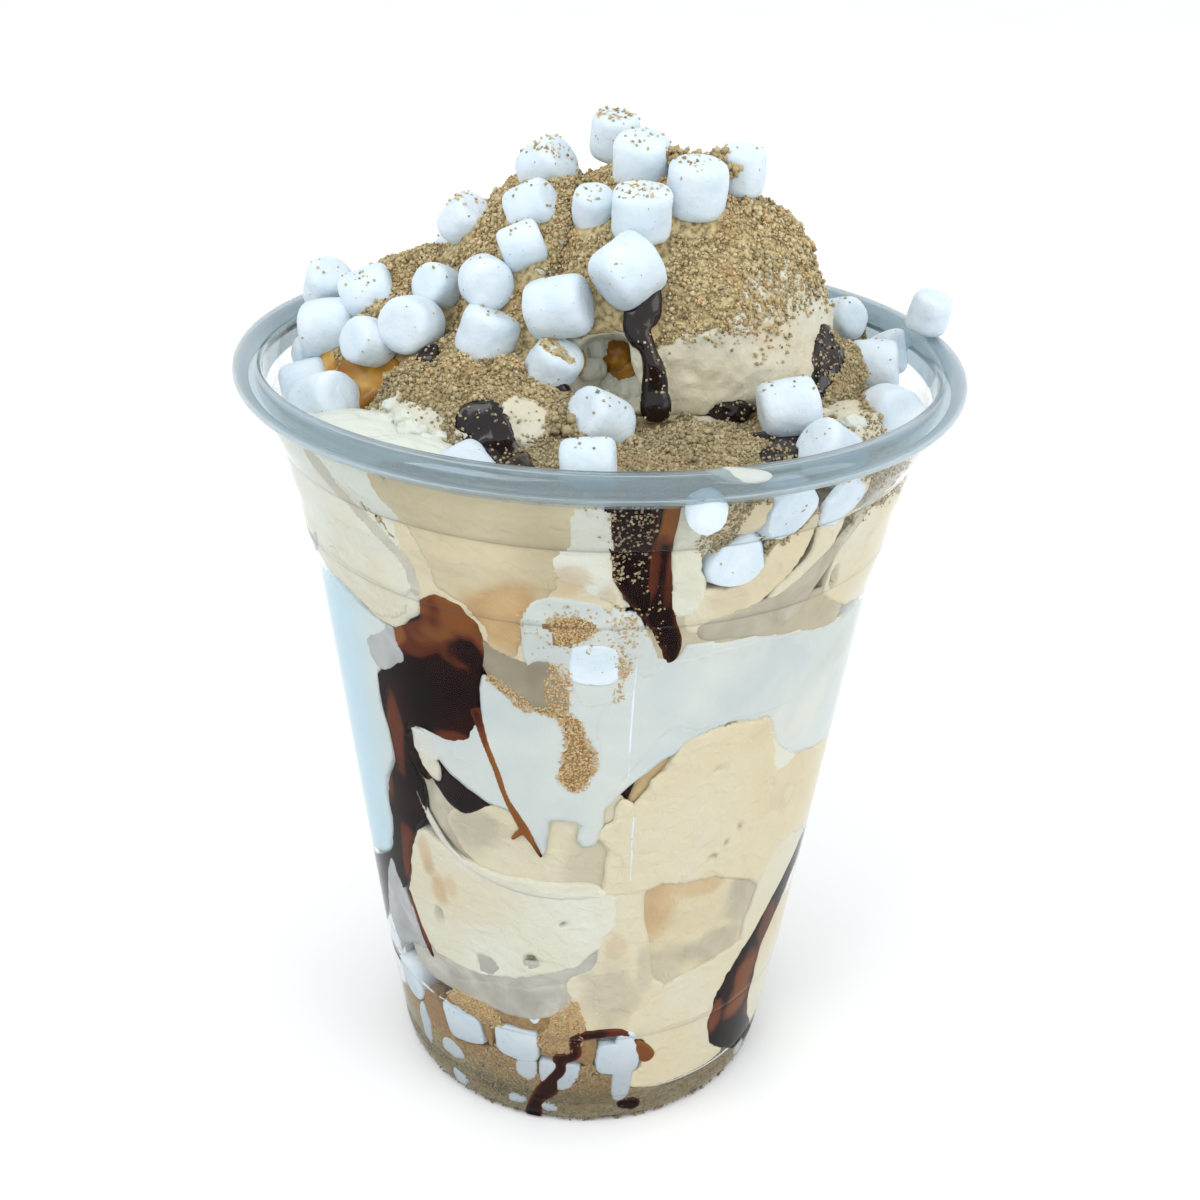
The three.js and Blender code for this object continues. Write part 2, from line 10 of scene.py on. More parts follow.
import bmesh
import bpy
import numpy as np
from mathutils import Matrix, Vector
from mathutils.bvhtree import BVHTree


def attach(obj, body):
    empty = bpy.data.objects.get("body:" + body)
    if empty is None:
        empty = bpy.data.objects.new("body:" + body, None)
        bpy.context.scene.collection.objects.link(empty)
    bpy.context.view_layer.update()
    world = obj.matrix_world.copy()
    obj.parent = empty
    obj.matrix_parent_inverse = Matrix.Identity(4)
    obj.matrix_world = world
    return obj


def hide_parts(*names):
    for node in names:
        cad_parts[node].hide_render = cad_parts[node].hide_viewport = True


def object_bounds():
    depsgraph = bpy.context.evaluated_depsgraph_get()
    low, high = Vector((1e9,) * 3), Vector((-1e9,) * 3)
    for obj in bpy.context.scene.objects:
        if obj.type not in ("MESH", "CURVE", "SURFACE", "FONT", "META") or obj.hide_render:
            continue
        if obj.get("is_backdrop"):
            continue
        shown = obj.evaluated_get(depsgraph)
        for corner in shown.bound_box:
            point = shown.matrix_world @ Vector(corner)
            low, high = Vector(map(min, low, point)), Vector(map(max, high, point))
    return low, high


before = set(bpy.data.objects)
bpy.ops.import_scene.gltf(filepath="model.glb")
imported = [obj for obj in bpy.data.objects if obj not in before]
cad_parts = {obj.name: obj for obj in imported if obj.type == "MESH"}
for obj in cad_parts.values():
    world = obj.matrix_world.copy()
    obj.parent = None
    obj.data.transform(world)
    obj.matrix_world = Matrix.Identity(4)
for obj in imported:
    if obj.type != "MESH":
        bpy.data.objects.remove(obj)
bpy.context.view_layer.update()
MM = 0.001

# ---- The cup's own sizes, as in the solids ----
RIM_RADIUS = 49
CUP_HEIGHT = 113
SHEET = 0.6
CURL_RADIUS = 1.65
FLOOR_TOP = 2.2  # the cup's floor, inside
FOOT_RADIUS = 28  # the wall stands outside this
FLOOR_RADIUS = 21.5  # the floor is flat inside this
PRESS_BELOW = 109.5  # food higher than this lies free of the rim
FLANGE_STARTS = 101.6  # the crease below the wide mouth
RIM_STARTS = 108.4  # the plastic is rolled and thicker above, where a grey tint paints the reflection of its surroundings
RINGS = [(4.4, 0.16), (5.7, 0.16), (18.5, 0.12), (90.5, 0.1), (101.6, 0.22)]  # height, depth
RING_HALF = 0.16
SHEET_LINE = [
    (0, 1.9), (21, 1.9), (23.6, 0.3), (27.7, 0.3), (28.5, 1.2), (30.8, 17), (31.35, 20), (39, 84),
    (40.6, 90), (41.35, 95), (42.3, 98), (42.7, 101), (44.4, 105), (45.3, 108.6),
]
WALL_LINE = np.array(SHEET_LINE[4:], float)


def wall_radius(z):
    """The radius of the wall's inner face at a height."""
    return np.interp(z, WALL_LINE[:, 1], WALL_LINE[:, 0]) - SHEET / 2


def polar(turn, radius, z):
    a = np.radians(turn)
    return np.stack([radius * np.sin(a), -radius * np.cos(a), z], axis=-1)


def smoothstep(low, high, value):
    t = np.clip((value - low) / (high - low), 0, 1)
    return t * t * (3 - 2 * t)


# ---- Noise ----
def lattice(i, seed):
    h = i[..., 0] * 374761393 + i[..., 1] * 668265263 + i[..., 2] * 982451653 + seed * 1274126177
    h = (h ^ (h >> 13)) & 0xFFFFFFFF
    h = (h * 1274126177) & 0xFFFFFFFF
    return ((h ^ (h >> 16)) & 0xFFFF) / 32767.5 - 1


def noise(points, size, seed):
    """Smooth noise between -1 and 1 whose lumps are about as large as size."""
    q = points / size
    base = np.floor(q).astype(np.int64)
    f = q - base
    f = f * f * (3 - 2 * f)
    total = np.zeros(len(points))
    for corner in range(8):
        step = np.array([corner & 1, corner >> 1 & 1, corner >> 2 & 1])
        weight = np.prod(np.where(step, f, 1 - f), axis=1)
        total += weight * lattice(base + step, seed)
    return total


def rough(points, size, seed, octaves=3):
    return sum(noise(points, size / 2**k, seed + k) / 2**k for k in range(octaves)) / 1.6


# ---- Meshes ----
def mesh_arrays(obj):
    """An object's evaluated mesh as points in millimetres and quads (a triangle repeats a corner)."""
    deps = bpy.context.evaluated_depsgraph_get()
    mesh = bpy.data.meshes.new_from_object(obj.evaluated_get(deps))
    points = np.zeros(len(mesh.vertices) * 3)
    mesh.vertices.foreach_get("co", points)
    sizes = np.zeros(len(mesh.polygons), int)
    mesh.polygons.foreach_get("loop_total", sizes)
    starts = np.zeros(len(mesh.polygons), int)
    mesh.polygons.foreach_get("loop_start", starts)
    corners = np.zeros(len(mesh.loops), int)
    mesh.loops.foreach_get("vertex_index", corners)
    quads = np.stack([corners[starts + np.minimum(k, sizes - 1)] for k in range(4)], axis=1)
    bpy.data.meshes.remove(mesh)
    return points.reshape(-1, 3) / MM, quads


def remeshed(source, voxel):
    """The source's surface rebuilt from even quads of that size."""
    copy = source.copy()
    copy.data = source.data.copy()
    copy.parent = None
    copy.matrix_world = Matrix.Identity(4)
    bpy.context.scene.collection.objects.link(copy)
    remesh = copy.modifiers.new("remesh", "REMESH")
    remesh.mode = "VOXEL"
    remesh.voxel_size = voxel * MM
    points, quads = mesh_arrays(copy)
    data = copy.data
    bpy.data.objects.remove(copy)
    bpy.data.meshes.remove(data)
    return points, quads


def edges_of(quads):
    pairs = np.concatenate([quads[:, [k, (k + 1) % 4]] for k in range(4)])
    pairs = np.sort(pairs[pairs[:, 0] != pairs[:, 1]], axis=1)
    return np.unique(pairs, axis=0)


def relaxed(points, quads, rounds, share=0.5):
    pairs = edges_of(quads)
    ends = np.concatenate([pairs[:, 0], pairs[:, 1]])
    others = np.concatenate([pairs[:, 1], pairs[:, 0]])
    count = np.maximum(np.bincount(ends, minlength=len(points)), 1)
    for _ in range(rounds):
        total = [np.bincount(ends, points[others, k], minlength=len(points)) for k in range(3)]
        points = points + share * (np.stack(total, axis=1) / count[:, None] - points)
    return points


def face_normals(points, quads):
    a, b, c, d = (points[quads[:, k]] for k in range(4))
    return np.cross(c - a, d - b)


def normals_of(points, quads):
    normal = face_normals(points, quads)
    total = np.zeros_like(points)
    for k in range(4):
        for axis in range(3):
            total[:, axis] += np.bincount(quads[:, k], normal[:, axis], minlength=len(points))
    return total / np.maximum(np.linalg.norm(total, axis=1), 1e-12)[:, None]


def pressed_to_cup(points, depth, reach=1.1, blend=1.6):
    """Brings what is nearly at the wall or floor just into it, and what is a little deeper along."""
    radius = np.hypot(points[:, 0], points[:, 1])
    wall = wall_radius(points[:, 2])
    gap = wall - radius
    eased = (reach + blend) * smoothstep(reach, reach + blend, gap)
    new_gap = np.where(gap < reach + blend, eased, gap)
    new_gap = np.where(gap < reach, 0, new_gap) - depth * (gap < reach + blend)
    inside = (points[:, 2] < PRESS_BELOW) & (radius > 20)
    scale = np.where(inside, (wall - new_gap) / np.maximum(radius, 1), 1)
    out = points.copy()
    out[:, 0] *= scale
    out[:, 1] *= scale
    low = (out[:, 2] < FLOOR_TOP + 1.4) & (radius < FLOOR_RADIUS)
    out[:, 2] = np.where(low, FLOOR_TOP - depth, out[:, 2])
    return out


def new_object(name, data):
    obj = bpy.data.objects.new(name, data)
    bpy.context.scene.collection.objects.link(obj)
    return obj


def shown(name, mesh, material, attributes):
    """Shows a mesh as a piece of the one body, with float attributes on its points."""
    for key, values in attributes.items():
        layer = mesh.attributes.new(key, "FLOAT", "POINT")
        layer.data.foreach_set("value", np.full(len(mesh.vertices), values, np.float32))
    mesh.materials.append(material)
    obj = new_object(name, mesh)
    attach(obj, "root")
    return obj


def piece(name, points, quads, material, slot=None, **attributes):
    """A smooth piece from points in millimetres. An attribute is one number or one for each."""
    mesh = bpy.data.meshes.new(name)
    faces = [list(dict.fromkeys(f)) for f in np.asarray(quads).tolist()]
    mesh.from_pydata((points * MM).tolist(), [], [f for f in faces if len(f) > 2])
    mesh.shade_smooth()
    return shown(name, mesh, material, attributes)


# ---- Materials ----
SURFACE_SHARE = 0.85  # the light is a little stronger than 1, so the surfaces are that much darker


def srgb(r, g, b):
    """A colour given in 0 to 255 as it looks in this light, in Blender's linear values."""
    linear = [((c / 255 + 0.055) / 1.055) ** 2.4 if c > 10 else c / 255 / 12.92 for c in (r, g, b)]
    return (*(c * SURFACE_SHARE for c in linear), 1)


def linear_colour(colour):
    """Three numbers are a colour as srgb() takes it, four are linear already."""
    return colour if len(colour) == 4 else srgb(*colour)


class Shader:
    """A short way to write a node tree round one Principled shader."""

    def __init__(self, name, **values):
        self.material = bpy.data.materials.new(name)
        self.material.use_nodes = True
        self.tree = self.material.node_tree
        self.shader = self.tree.nodes["Principled BSDF"]
        for key, value in values.items():
            self.shader.inputs[key.replace("_", " ")].default_value = value
        self.place = self.node("TexCoord").outputs["Object"]

    def node(self, kind, **settings):
        made = self.tree.nodes.new("ShaderNode" + kind)
        for key, value in settings.items():
            setattr(made, key, value)
        return made

    def link(self, source, target):
        self.tree.links.new(source, target)

    def feed(self, socket, value):
        """Sets a constant on a socket or links an output to it."""
        if isinstance(value, tuple):
            socket.default_value = linear_colour(value)
        elif isinstance(value, (int, float)):
            socket.default_value = value
        else:
            self.link(value, socket)

    def noise(self, size, detail=3.0, distortion=0.0):
        made = self.node("TexNoise")
        made.inputs["Scale"].default_value = 1 / (size * MM)
        made.inputs["Detail"].default_value = detail
        made.inputs["Distortion"].default_value = distortion
        self.link(self.place, made.inputs["Vector"])
        return made.outputs["Fac"]

    def attribute(self, name):
        return self.node("Attribute", attribute_name=name).outputs["Fac"]

    def height(self):
        split = self.node("SeparateXYZ")
        self.link(self.place, split.inputs["Vector"])
        return split.outputs["Z"]

    def ramp(self, value, stops):
        """The colour for each value. stops: {value: colour}."""
        made = self.node("ValToRGB")
        elements = made.color_ramp.elements
        while len(elements) < len(stops):
            elements.new(0.5)
        for element, (position, colour) in zip(elements, stops.items()):
            element.position = position
            element.color = linear_colour(colour)
        self.link(value, made.inputs["Fac"])
        return made.outputs["Color"]

    def share(self, value, low, high):
        """0 below low, 1 above high."""
        made = self.node("MapRange", interpolation_type="SMOOTHSTEP")
        made.inputs["From Min"].default_value = low
        made.inputs["From Max"].default_value = high
        self.link(value, made.inputs["Value"])
        return made.outputs["Result"]

    def maths(self, operation, a, b):
        made = self.node("Math", operation=operation)
        self.feed(made.inputs[0], a)
        self.feed(made.inputs[1], b)
        return made.outputs["Value"]

    def times(self, a, b):
        return self.maths("MULTIPLY", a, b)

    def plus(self, a, b):
        return self.maths("ADD", a, b)

    def mix(self, share, first, second):
        made = self.node("Mix", data_type="RGBA")
        self.link(share, made.inputs["Factor"])
        self.feed(made.inputs[6], first)
        self.feed(made.inputs[7], second)
        return made.outputs[2]

    def dusty(self, size, low=0.98):
        """1 where crumbs lie, in flecks of about that size."""
        return self.share(self.plus(self.attribute("dust"), self.noise(size, 4.0)), low, 1.12)

    def bump(self, value, distance):
        made = self.node("Bump")
        made.inputs["Strength"].default_value = 1.0
        made.inputs["Distance"].default_value = distance * MM
        self.link(value, made.inputs["Height"])
        self.link(made.outputs["Normal"], self.shader.inputs["Normal"])

    def colour(self, value):
        self.link(value, self.shader.inputs["Base Color"])
        return self.material


CRUMB_ORANGE = (192, 158, 106)
CRUMB_OLIVE = (150, 142, 116)
CRUMB_TONES = {0.35: (140, 124, 90), 0.5: (190, 170, 124), 0.66: (214, 196, 152)}
GRAIN_TONES = {
    0.0: (104, 88, 62),
    0.2: (158, 138, 98),
    0.5: (194, 174, 128),
    0.85: (226, 208, 166),
    1.0: (204, 162, 104),
}


# Heights in the materials are in metres.
def near_floor(s, colour):
    """What lies near the cup's floor gets less light from above and looks darker."""
    return s.mix(s.times(s.share(s.height(), 0.026, 0.006), 0.42), colour, (66, 60, 52))


def olive(s, colour):
    """Crumbs look greyer in the lower part of the heap and on the cup's floor."""
    z = s.height()
    heap = s.times(s.share(z, 0.117, 0.109), s.share(z, 0.09, 0.1))
    both = s.plus(s.times(heap, 0.4), s.times(s.share(z, 0.009, 0.005), 0.5))
    return near_floor(s, s.mix(both, colour, CRUMB_OLIVE))


def crumb_colour(s):
    patch = s.times(s.share(s.noise(9, 2.0), 0.52, 0.66), 0.7)
    return olive(s, s.mix(patch, s.ramp(s.noise(0.7, 2.0), CRUMB_TONES), CRUMB_ORANGE))


def ice_cream_material():
    """tone: pale to tan, a high tone also painting shade. deep: painted shade where the surface lies
    behind the wall. dust: crumbs on it.
    """
    s = Shader("ice_cream", Roughness=0.5, Specular_IOR_Level=0.15)
    slow = s.times(s.maths("SUBTRACT", s.noise(16, 3.0, 0.6), 0.5), 0.5)
    tones = {0.0: (226, 230, 219), 0.35: (220, 214, 192), 0.65: (220, 207, 174), 1.0: (194, 180, 148)}
    cream = s.ramp(s.plus(s.attribute("tone"), slow), tones)
    # Caramel colour, which also paints caramel-toned shade.
    caramel = s.ramp(s.noise(5, 2.0), {0.3: (176, 122, 52), 0.7: (206, 160, 96)})
    cream = s.mix(s.attribute("caramel"), cream, caramel)
    # Painted shade: grey where the surface lies back from the wall.
    painted_shade_grey = s.ramp(s.noise(7, 3.0, 1.0), {0.3: (168, 160, 142), 0.7: (194, 185, 164)})
    cream = s.mix(s.attribute("deep"), cream, painted_shade_grey)
    dusty = s.dusty(1.6)
    s.bump(s.plus(s.noise(2.2, 5.0, 0.4), s.times(dusty, 0.5)), 0.5)
    return s.colour(s.mix(dusty, cream, crumb_colour(s)))


def pocket_shade_material():
    """Painted shade for an air pocket behind the wall: a faint, milky look. The cool-light attribute
    paints it cooler, the deeper-shade attribute darker.
    """
    s = Shader("painted_pocket_shade", Roughness=0.6, Specular_IOR_Level=0.1)
    slow = s.noise(5, 3.0, 0.8)
    warm = s.ramp(slow, {0.3: (168, 160, 140), 0.55: (188, 181, 162), 0.75: (206, 200, 184)})
    cool = s.ramp(slow, {0.3: (158, 160, 162), 0.55: (178, 180, 180), 0.75: (198, 200, 198)})
    # (112, 100, 74) is the deeper painted shade; the cool greys are painted cool light.
    return s.colour(s.mix(s.attribute("blue"), s.mix(s.attribute("dim"), warm, (112, 100, 74)), cool))


def marshmallow_cream_material():
    """tone: white to warm. The cool-light attribute paints cool light on the left of the cup; deep paints
    shade where the cream lies behind the wall.
    """
    s = Shader("marshmallow_cream", Roughness=0.35, Specular_IOR_Level=0.2)
    slow = s.noise(12, 3.0, 0.5)
    white = s.ramp(slow, {0.35: (214, 219, 214), 0.65: (198, 208, 208)})
    warm = s.ramp(slow, {0.35: (226, 222, 204), 0.65: (214, 208, 188)})
    cream = s.mix(s.attribute("tone"), white, warm)
    # Painted cool light on the left of the cup.
    cream = s.mix(s.attribute("blue"), cream, (190, 219, 232))
    # Painted shade where the cream lies back from the wall.
    painted_shade_grey = s.ramp(s.noise(7, 3.0, 1.0), {0.3: (168, 166, 160), 0.7: (196, 192, 182)})
    cream = s.mix(s.attribute("deep"), cream, painted_shade_grey)
    s.bump(s.noise(4, 4.0, 0.4), 0.3)
    return s.colour(s.mix(s.dusty(1.2), cream, crumb_colour(s)))


def sauce_material(name, gloss, roughness):
    """thin: where the sauce lets light through and looks amber."""
    s = Shader(name, Roughness=roughness, Specular_IOR_Level=gloss)
    thick = s.ramp(s.noise(6, 2.0), {0.3: (14, 5, 6), 0.7: (34, 12, 10)})
    thin = s.attribute("thin")
    amber = s.ramp(thin, {0.0: (40, 14, 12), 0.5: (100, 50, 30), 1.0: (140, 88, 44)})
    return s.colour(s.mix(s.share(thin, 0.02, 0.3), thick, amber))


def caramel_material():
    s = Shader("caramel", Roughness=0.2, Specular_IOR_Level=0.3)
    tones = {0.35: (148, 96, 28), 0.5: (184, 132, 50), 0.65: (210, 168, 92)}
    return s.colour(s.ramp(s.noise(5, 2.0, 0.5), tones))


def crumbs_material():
    """tone: each grain's own shade."""
    s = Shader("biscuit_crumbs", Roughness=0.85)
    s.bump(s.noise(0.35, 3.0), 0.12)
    orange = s.times(s.share(s.noise(8, 2.0), 0.55, 0.72), 0.5)
    return s.colour(olive(s, s.mix(orange, s.ramp(s.attribute("tone"), GRAIN_TONES), CRUMB_ORANGE)))


def crumb_bed_material():
    """Packed crumbs, more golden above the cup's floor."""
    s = Shader("crumb_bed", Roughness=0.85)
    s.bump(s.noise(0.8, 5.0), 0.6)
    golden = s.times(s.share(s.height(), 0.006, 0.013), 0.75)
    return s.colour(s.mix(golden, crumb_colour(s), (146, 108, 62)))


def marshmallow_material():
    s = Shader("marshmallow", Roughness=0.7, Specular_IOR_Level=0.2)
    white = s.ramp(s.noise(4, 2.0), {0.3: (232, 242, 249), 0.7: (216, 232, 243)})
    white = s.mix(s.share(s.noise(0.8, 2.0), 0.71, 0.74), white, (178, 160, 130))
    s.bump(s.noise(1.6, 4.0), 0.25)
    return s.colour(near_floor(s, s.mix(s.dusty(0.9, 1.0), white, crumb_colour(s))))


def clear_material(name, tint, ior, clear=1.0):
    """Clear plastic that lamps shine through. clear: 1 for glassy, less for milky."""
    s = Shader(name, Roughness=0.02, IOR=ior, Transmission_Weight=clear, Base_Color=(*tint, 1))
    path = s.node("LightPath")
    through = s.node("BsdfTransparent")
    through.inputs["Color"].default_value = (0.97, 0.98, 0.98, 1)
    both = s.node("MixShader")
    s.link(path.outputs["Is Shadow Ray"], both.inputs["Fac"])
    s.link(s.shader.outputs["BSDF"], both.inputs[1])
    s.link(through.outputs["BSDF"], both.inputs[2])
    s.link(both.outputs["Shader"], s.tree.nodes["Material Output"].inputs["Surface"])
    return s.material


ICE_CREAM = ice_cream_material()
CREAM = marshmallow_cream_material()
SAUCE = sauce_material("chocolate_sauce", 0.45, 0.16)
WALL_SAUCE = sauce_material("sauce_at_wall", 0.05, 0.5)
POCKET_SHADE = pocket_shade_material()
CARAMEL = caramel_material()
CRUMBS = crumbs_material()
CRUMB_BED = crumb_bed_material()
MARSHMALLOW = marshmallow_material()
CLEAR_WALL = clear_material("clear_wall", (0.97, 0.975, 0.97), 1.11)
CLEAR_FLANGE = clear_material("clear_flange", (0.955, 0.965, 0.968), 1.2)
# The rim's grey-blue, part-milky tint paints the reflection of the surroundings; the rings' grey tint
# paints the dark lines the creases make.
CLEAR_RIM = clear_material("clear_rim", (0.48, 0.57, 0.61), 1.45, 0.85)
CLEAR_RING = clear_material("clear_ring", (0.6, 0.62, 0.62), 1.3)


# ---- Cup ----
def beside(line, distance):
    """The line moved sideways by a distance, to the left of its direction."""
    line = np.asarray(line, float)
    along = np.gradient(line, axis=0)
    along /= np.linalg.norm(along, axis=1)[:, None]
    out = line + distance * np.stack([-along[:, 1], along[:, 0]], axis=1)
    out[:, 0] = np.maximum(out[:, 0], 0)
    return out


def sheet_line():
    """The middle of the cup's sheet, with its creases and rings."""
    dense = []
    for (r0, z0), (r1, z1) in zip(SHEET_LINE, SHEET_LINE[1:]):
        steps = max(2, int(math.hypot(r1 - r0, z1 - z0) / 0.15))
        for k in range(steps):
            t = k / steps
            dense.append([r0 + (r1 - r0) * t, z0 + (z1 - z0) * t])
    dense.append(SHEET_LINE[-1])
    dense = np.array(dense)
    for _ in range(50):
        dense[1:-1] = dense[1:-1] * 0.5 + (dense[:-2] + dense[2:]) * 0.25
    kept = np.arange(len(dense)) % 6 == 0
    for height, deep in RINGS:
        near = np.exp(-(((dense[:, 1] - height) / 0.3) ** 2)) * (dense[:, 0] > FOOT_RADIUS)
        dense[:, 0] -= deep * near
        kept |= near > 0.02
    dense = dense[kept]
    middle = [RIM_RADIUS - CURL_RADIUS - SHEET / 2, CUP_HEIGHT - CURL_RADIUS - SHEET / 2]
    angles = np.radians(np.linspace(180, -100, 26))
    curl = middle + CURL_RADIUS * np.stack([np.cos(angles), np.sin(angles)], axis=1)
    return np.concatenate([dense, curl])


def lathe(profile, sides=192):
    """A closed profile of [radius, height] turned round Z."""
    count = len(profile)
    angles = np.arange(sides) * 2 * math.pi / sides
    points = np.zeros((sides, count, 3))
    points[:, :, 0] = profile[None, :, 0] * np.cos(angles)[:, None]
    points[:, :, 1] = profile[None, :, 0] * np.sin(angles)[:, None]
    points[:, :, 2] = profile[None, :, 1]
    i, j = np.meshgrid(np.arange(sides), np.arange(count - 1), indexing="ij")
    i, j = i.ravel(), j.ravel()
    after = (i + 1) % sides
    near, far = i * count + j, after * count + j
    return points.reshape(-1, 3), np.stack([near, far, far + 1, near + 1], axis=1)


def merged(points, quads, tolerance=1e-4):
    keys = np.round(points / tolerance).astype(np.int64)
    _, first, back = np.unique(keys, axis=0, return_index=True, return_inverse=True)
    return points[first], back.reshape(-1)[quads]


def build_cup():
    line = sheet_line()
    profile = np.concatenate([beside(line, -SHEET / 2), beside(line, SHEET / 2)[::-1]])
    points, quads = merged(*lathe(profile))
    cup = piece("clear_cup_shell", points, quads, CLEAR_WALL)
    for material in (CLEAR_FLANGE, CLEAR_RIM, CLEAR_RING):
        cup.data.materials.append(material)
    middle = points[quads, 2].mean(axis=1)
    kind = (middle > FLANGE_STARTS).astype(int) + (middle > RIM_STARTS)
    at_wall = np.hypot(points[quads, 0], points[quads, 1]).min(axis=1) > FOOT_RADIUS
    for height, _ in RINGS:
        kind[(np.abs(middle - height) < RING_HALF) & at_wall] = 3
    cup.data.polygons.foreach_set("material_index", kind)
    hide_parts("cup")


build_cup()


# ---- Food against the wall and in the heap ----
def unwrapped(points):
    """Each point's turn in degrees, its height, and how far it is behind the wall."""
    turn = np.degrees(np.arctan2(points[:, 0], -points[:, 1]))
    radius = np.hypot(points[:, 0], points[:, 1])
    return turn, points[:, 2], wall_radius(points[:, 2]) - radius


def spots(points, places, seed, ragged=0.5):
    """Soft spots on the wall: (turn, z, half width in degrees, half height, amount)."""
    turn, z, _ = unwrapped(points)
    wobble = rough(points, 4, seed) * ragged
    total = np.zeros(len(points))
    for at, height, wide, high, amount in places:
        off = (turn - at + 180) % 360 - 180
        far = np.hypot(off / wide, (z - height) / high) + wobble
        total = np.maximum(total, amount * smoothstep(1.15, 0.55, far))
    return total


def balls(points, places, seed, soft=0.25):
    """Soft spots in space: (x, y, z, radius x, radius y, radius z, amount)."""
    wobble = rough(points, 4, seed) * 0.3
    total = np.zeros(len(points))
    for x, y, z, rx, ry, rz, amount in places:
        far = np.linalg.norm((points - [x, y, z]) / [rx, ry, rz], axis=1) + wobble
        total = np.maximum(total, amount * smoothstep(1 + soft, 1 - soft, far))
    return total


# Spots at the wall are (turn, z, half width in degrees, half height, amount).
# Caramel-coloured spots, partly painted shade, as under the rim.
CARAMEL_AND_SHADE_ON_WALL = [
    (19, 42, 5, 5, 0.45), (30, 44, 7, 2.5, 0.3), (-15, 90, 9, 6, 0.6), (23, 93, 5, 3, 0.2),
    (-37, 41, 3, 3, 0.45), (-40, 47, 2.5, 4, 0.45), (-33, 43, 1.5, 2, 0.3), (130, 38, 8, 6, 0.5),
    (-120, 93, 8, 4, 0.5), (92, 93, 7, 4, 0.4), (-160, 32, 9, 5, 0.4),
]
# Painted shade: where the food at the wall is painted greyer.
PAINTED_SHADE_SPOTS = [
    (-100, 70, 14, 5, 0.3), (150, 78, 20, 4, 0.3), (112, 62, 10, 5, 0.35), (-150, 84, 12, 3, 0.35),
    (-78, 42, 6, 8, 0.25), (62, 78, 8, 4, 0.2), (-128, 56, 10, 5, 0.35),
]
# Spots in space are (x, y, z, radius x, radius y, radius z, amount).
# Caramel-coloured spots in the heap; the one in the hollow under the top scoop is painted shade.
CARAMEL_AND_SHADE_IN_HEAP = [
    (2, -6, 114, 4, 3, 3.5, 0.8), (-33.5, -15, 106.5, 3.5, 3, 2, 0.6), (35, -3, 106, 2.5, 4, 2, 0.45),
    (20, -9, 118, 2.5, 4, 1.5, 0.2),
]
# Holes in the food at the wall, also painted with shade.
PITS = [
    (30, 50.5, 1.2, 0.5, 0.5), (33, 52.5, 0.8, 0.5, 0.5), (36, 54.5, 1.2, 0.6, 0.5),
    (39.5, 57, 1, 0.5, 0.5), (42.5, 60, 1.2, 0.6, 0.5), (28, 66, 3, 0.4, 0.35),
    (-24.5, 30.5, 2.2, 1.3, 1), (-13, 33.5, 2.4, 1.6, 1), (-38, 36, 1, 1.2, 0.8), (-5, 41, 0.5, 0.5, 0.6),
    (-55, 91, 1.5, 0.8, 0.5), (40.5, 95, 2.6, 5, 1), (43, 89.5, 3.5, 1.8, 0.8), (47.5, 92, 1, 2, 0.9),
    (58, 95, 1.5, 1.2, 0.7), (30, 88, 8, 1.4, 0.6), (22, 64, 2, 0.6, 0.5), (38, 50, 1.5, 1, 0.7),
    (42, 48.5, 1.5, 0.8, 0.7), (36, 47, 3, 0.8, 0.6), (52, 56, 1.5, 1.2, 0.5), (130, 60, 3, 1.5, 0.8),
    (165, 92, 3, 2, 0.8), (-120, 45, 3, 2, 0.8), (-150, 90, 4, 1.6, 0.8),
]
# Where no crumbs lie on the heap.
BARE_CREAM = [
    (-30, -25, 106.5, 13, 11, 6.5, 1.0), (-23.5, -26, 107.5, 5, 6, 4, 0.9),
    (-15, -32, 108.5, 5.5, 8, 4, 1.0), (-9.3, -24.3, 110.3, 3.2, 2.8, 3.4, 0.95),
    (32, -9, 107, 3.5, 10, 4, 0.95), (37, -12, 105, 4, 12, 4, 0.7), (2, -10, 112, 6.5, 7, 6, 1.0),
    (12, -14, 108.5, 8, 3.5, 3.5, 1.0), (-34, -15, 106, 5, 4, 3, 0.9),
]


def heap_dust(points, normal):
    """How thickly crumbs lie on the heap."""
    up = smoothstep(-0.2, 0.4, normal[:, 2])
    return up * (1 - balls(points, BARE_CREAM, 31)) * (points[:, 2] > 99)


def scoop_dust(points, normal):
    """The top scoop is dusted on its upper left, with a ragged lower edge."""
    front = 118 + 0.08 * (points[:, 0] - 5)
    edge = np.where(points[:, 1] < 0, front, front - 0.3 * points[:, 1]) + rough(points, 6, 41) * 4
    thinner = 1 - 0.45 * smoothstep(8, 20, points[:, 0]) * smoothstep(134, 124, points[:, 2])
    return thinner * smoothstep(-3, 3, points[:, 2] - edge) * smoothstep(-0.5, 0.1, normal[:, 2])


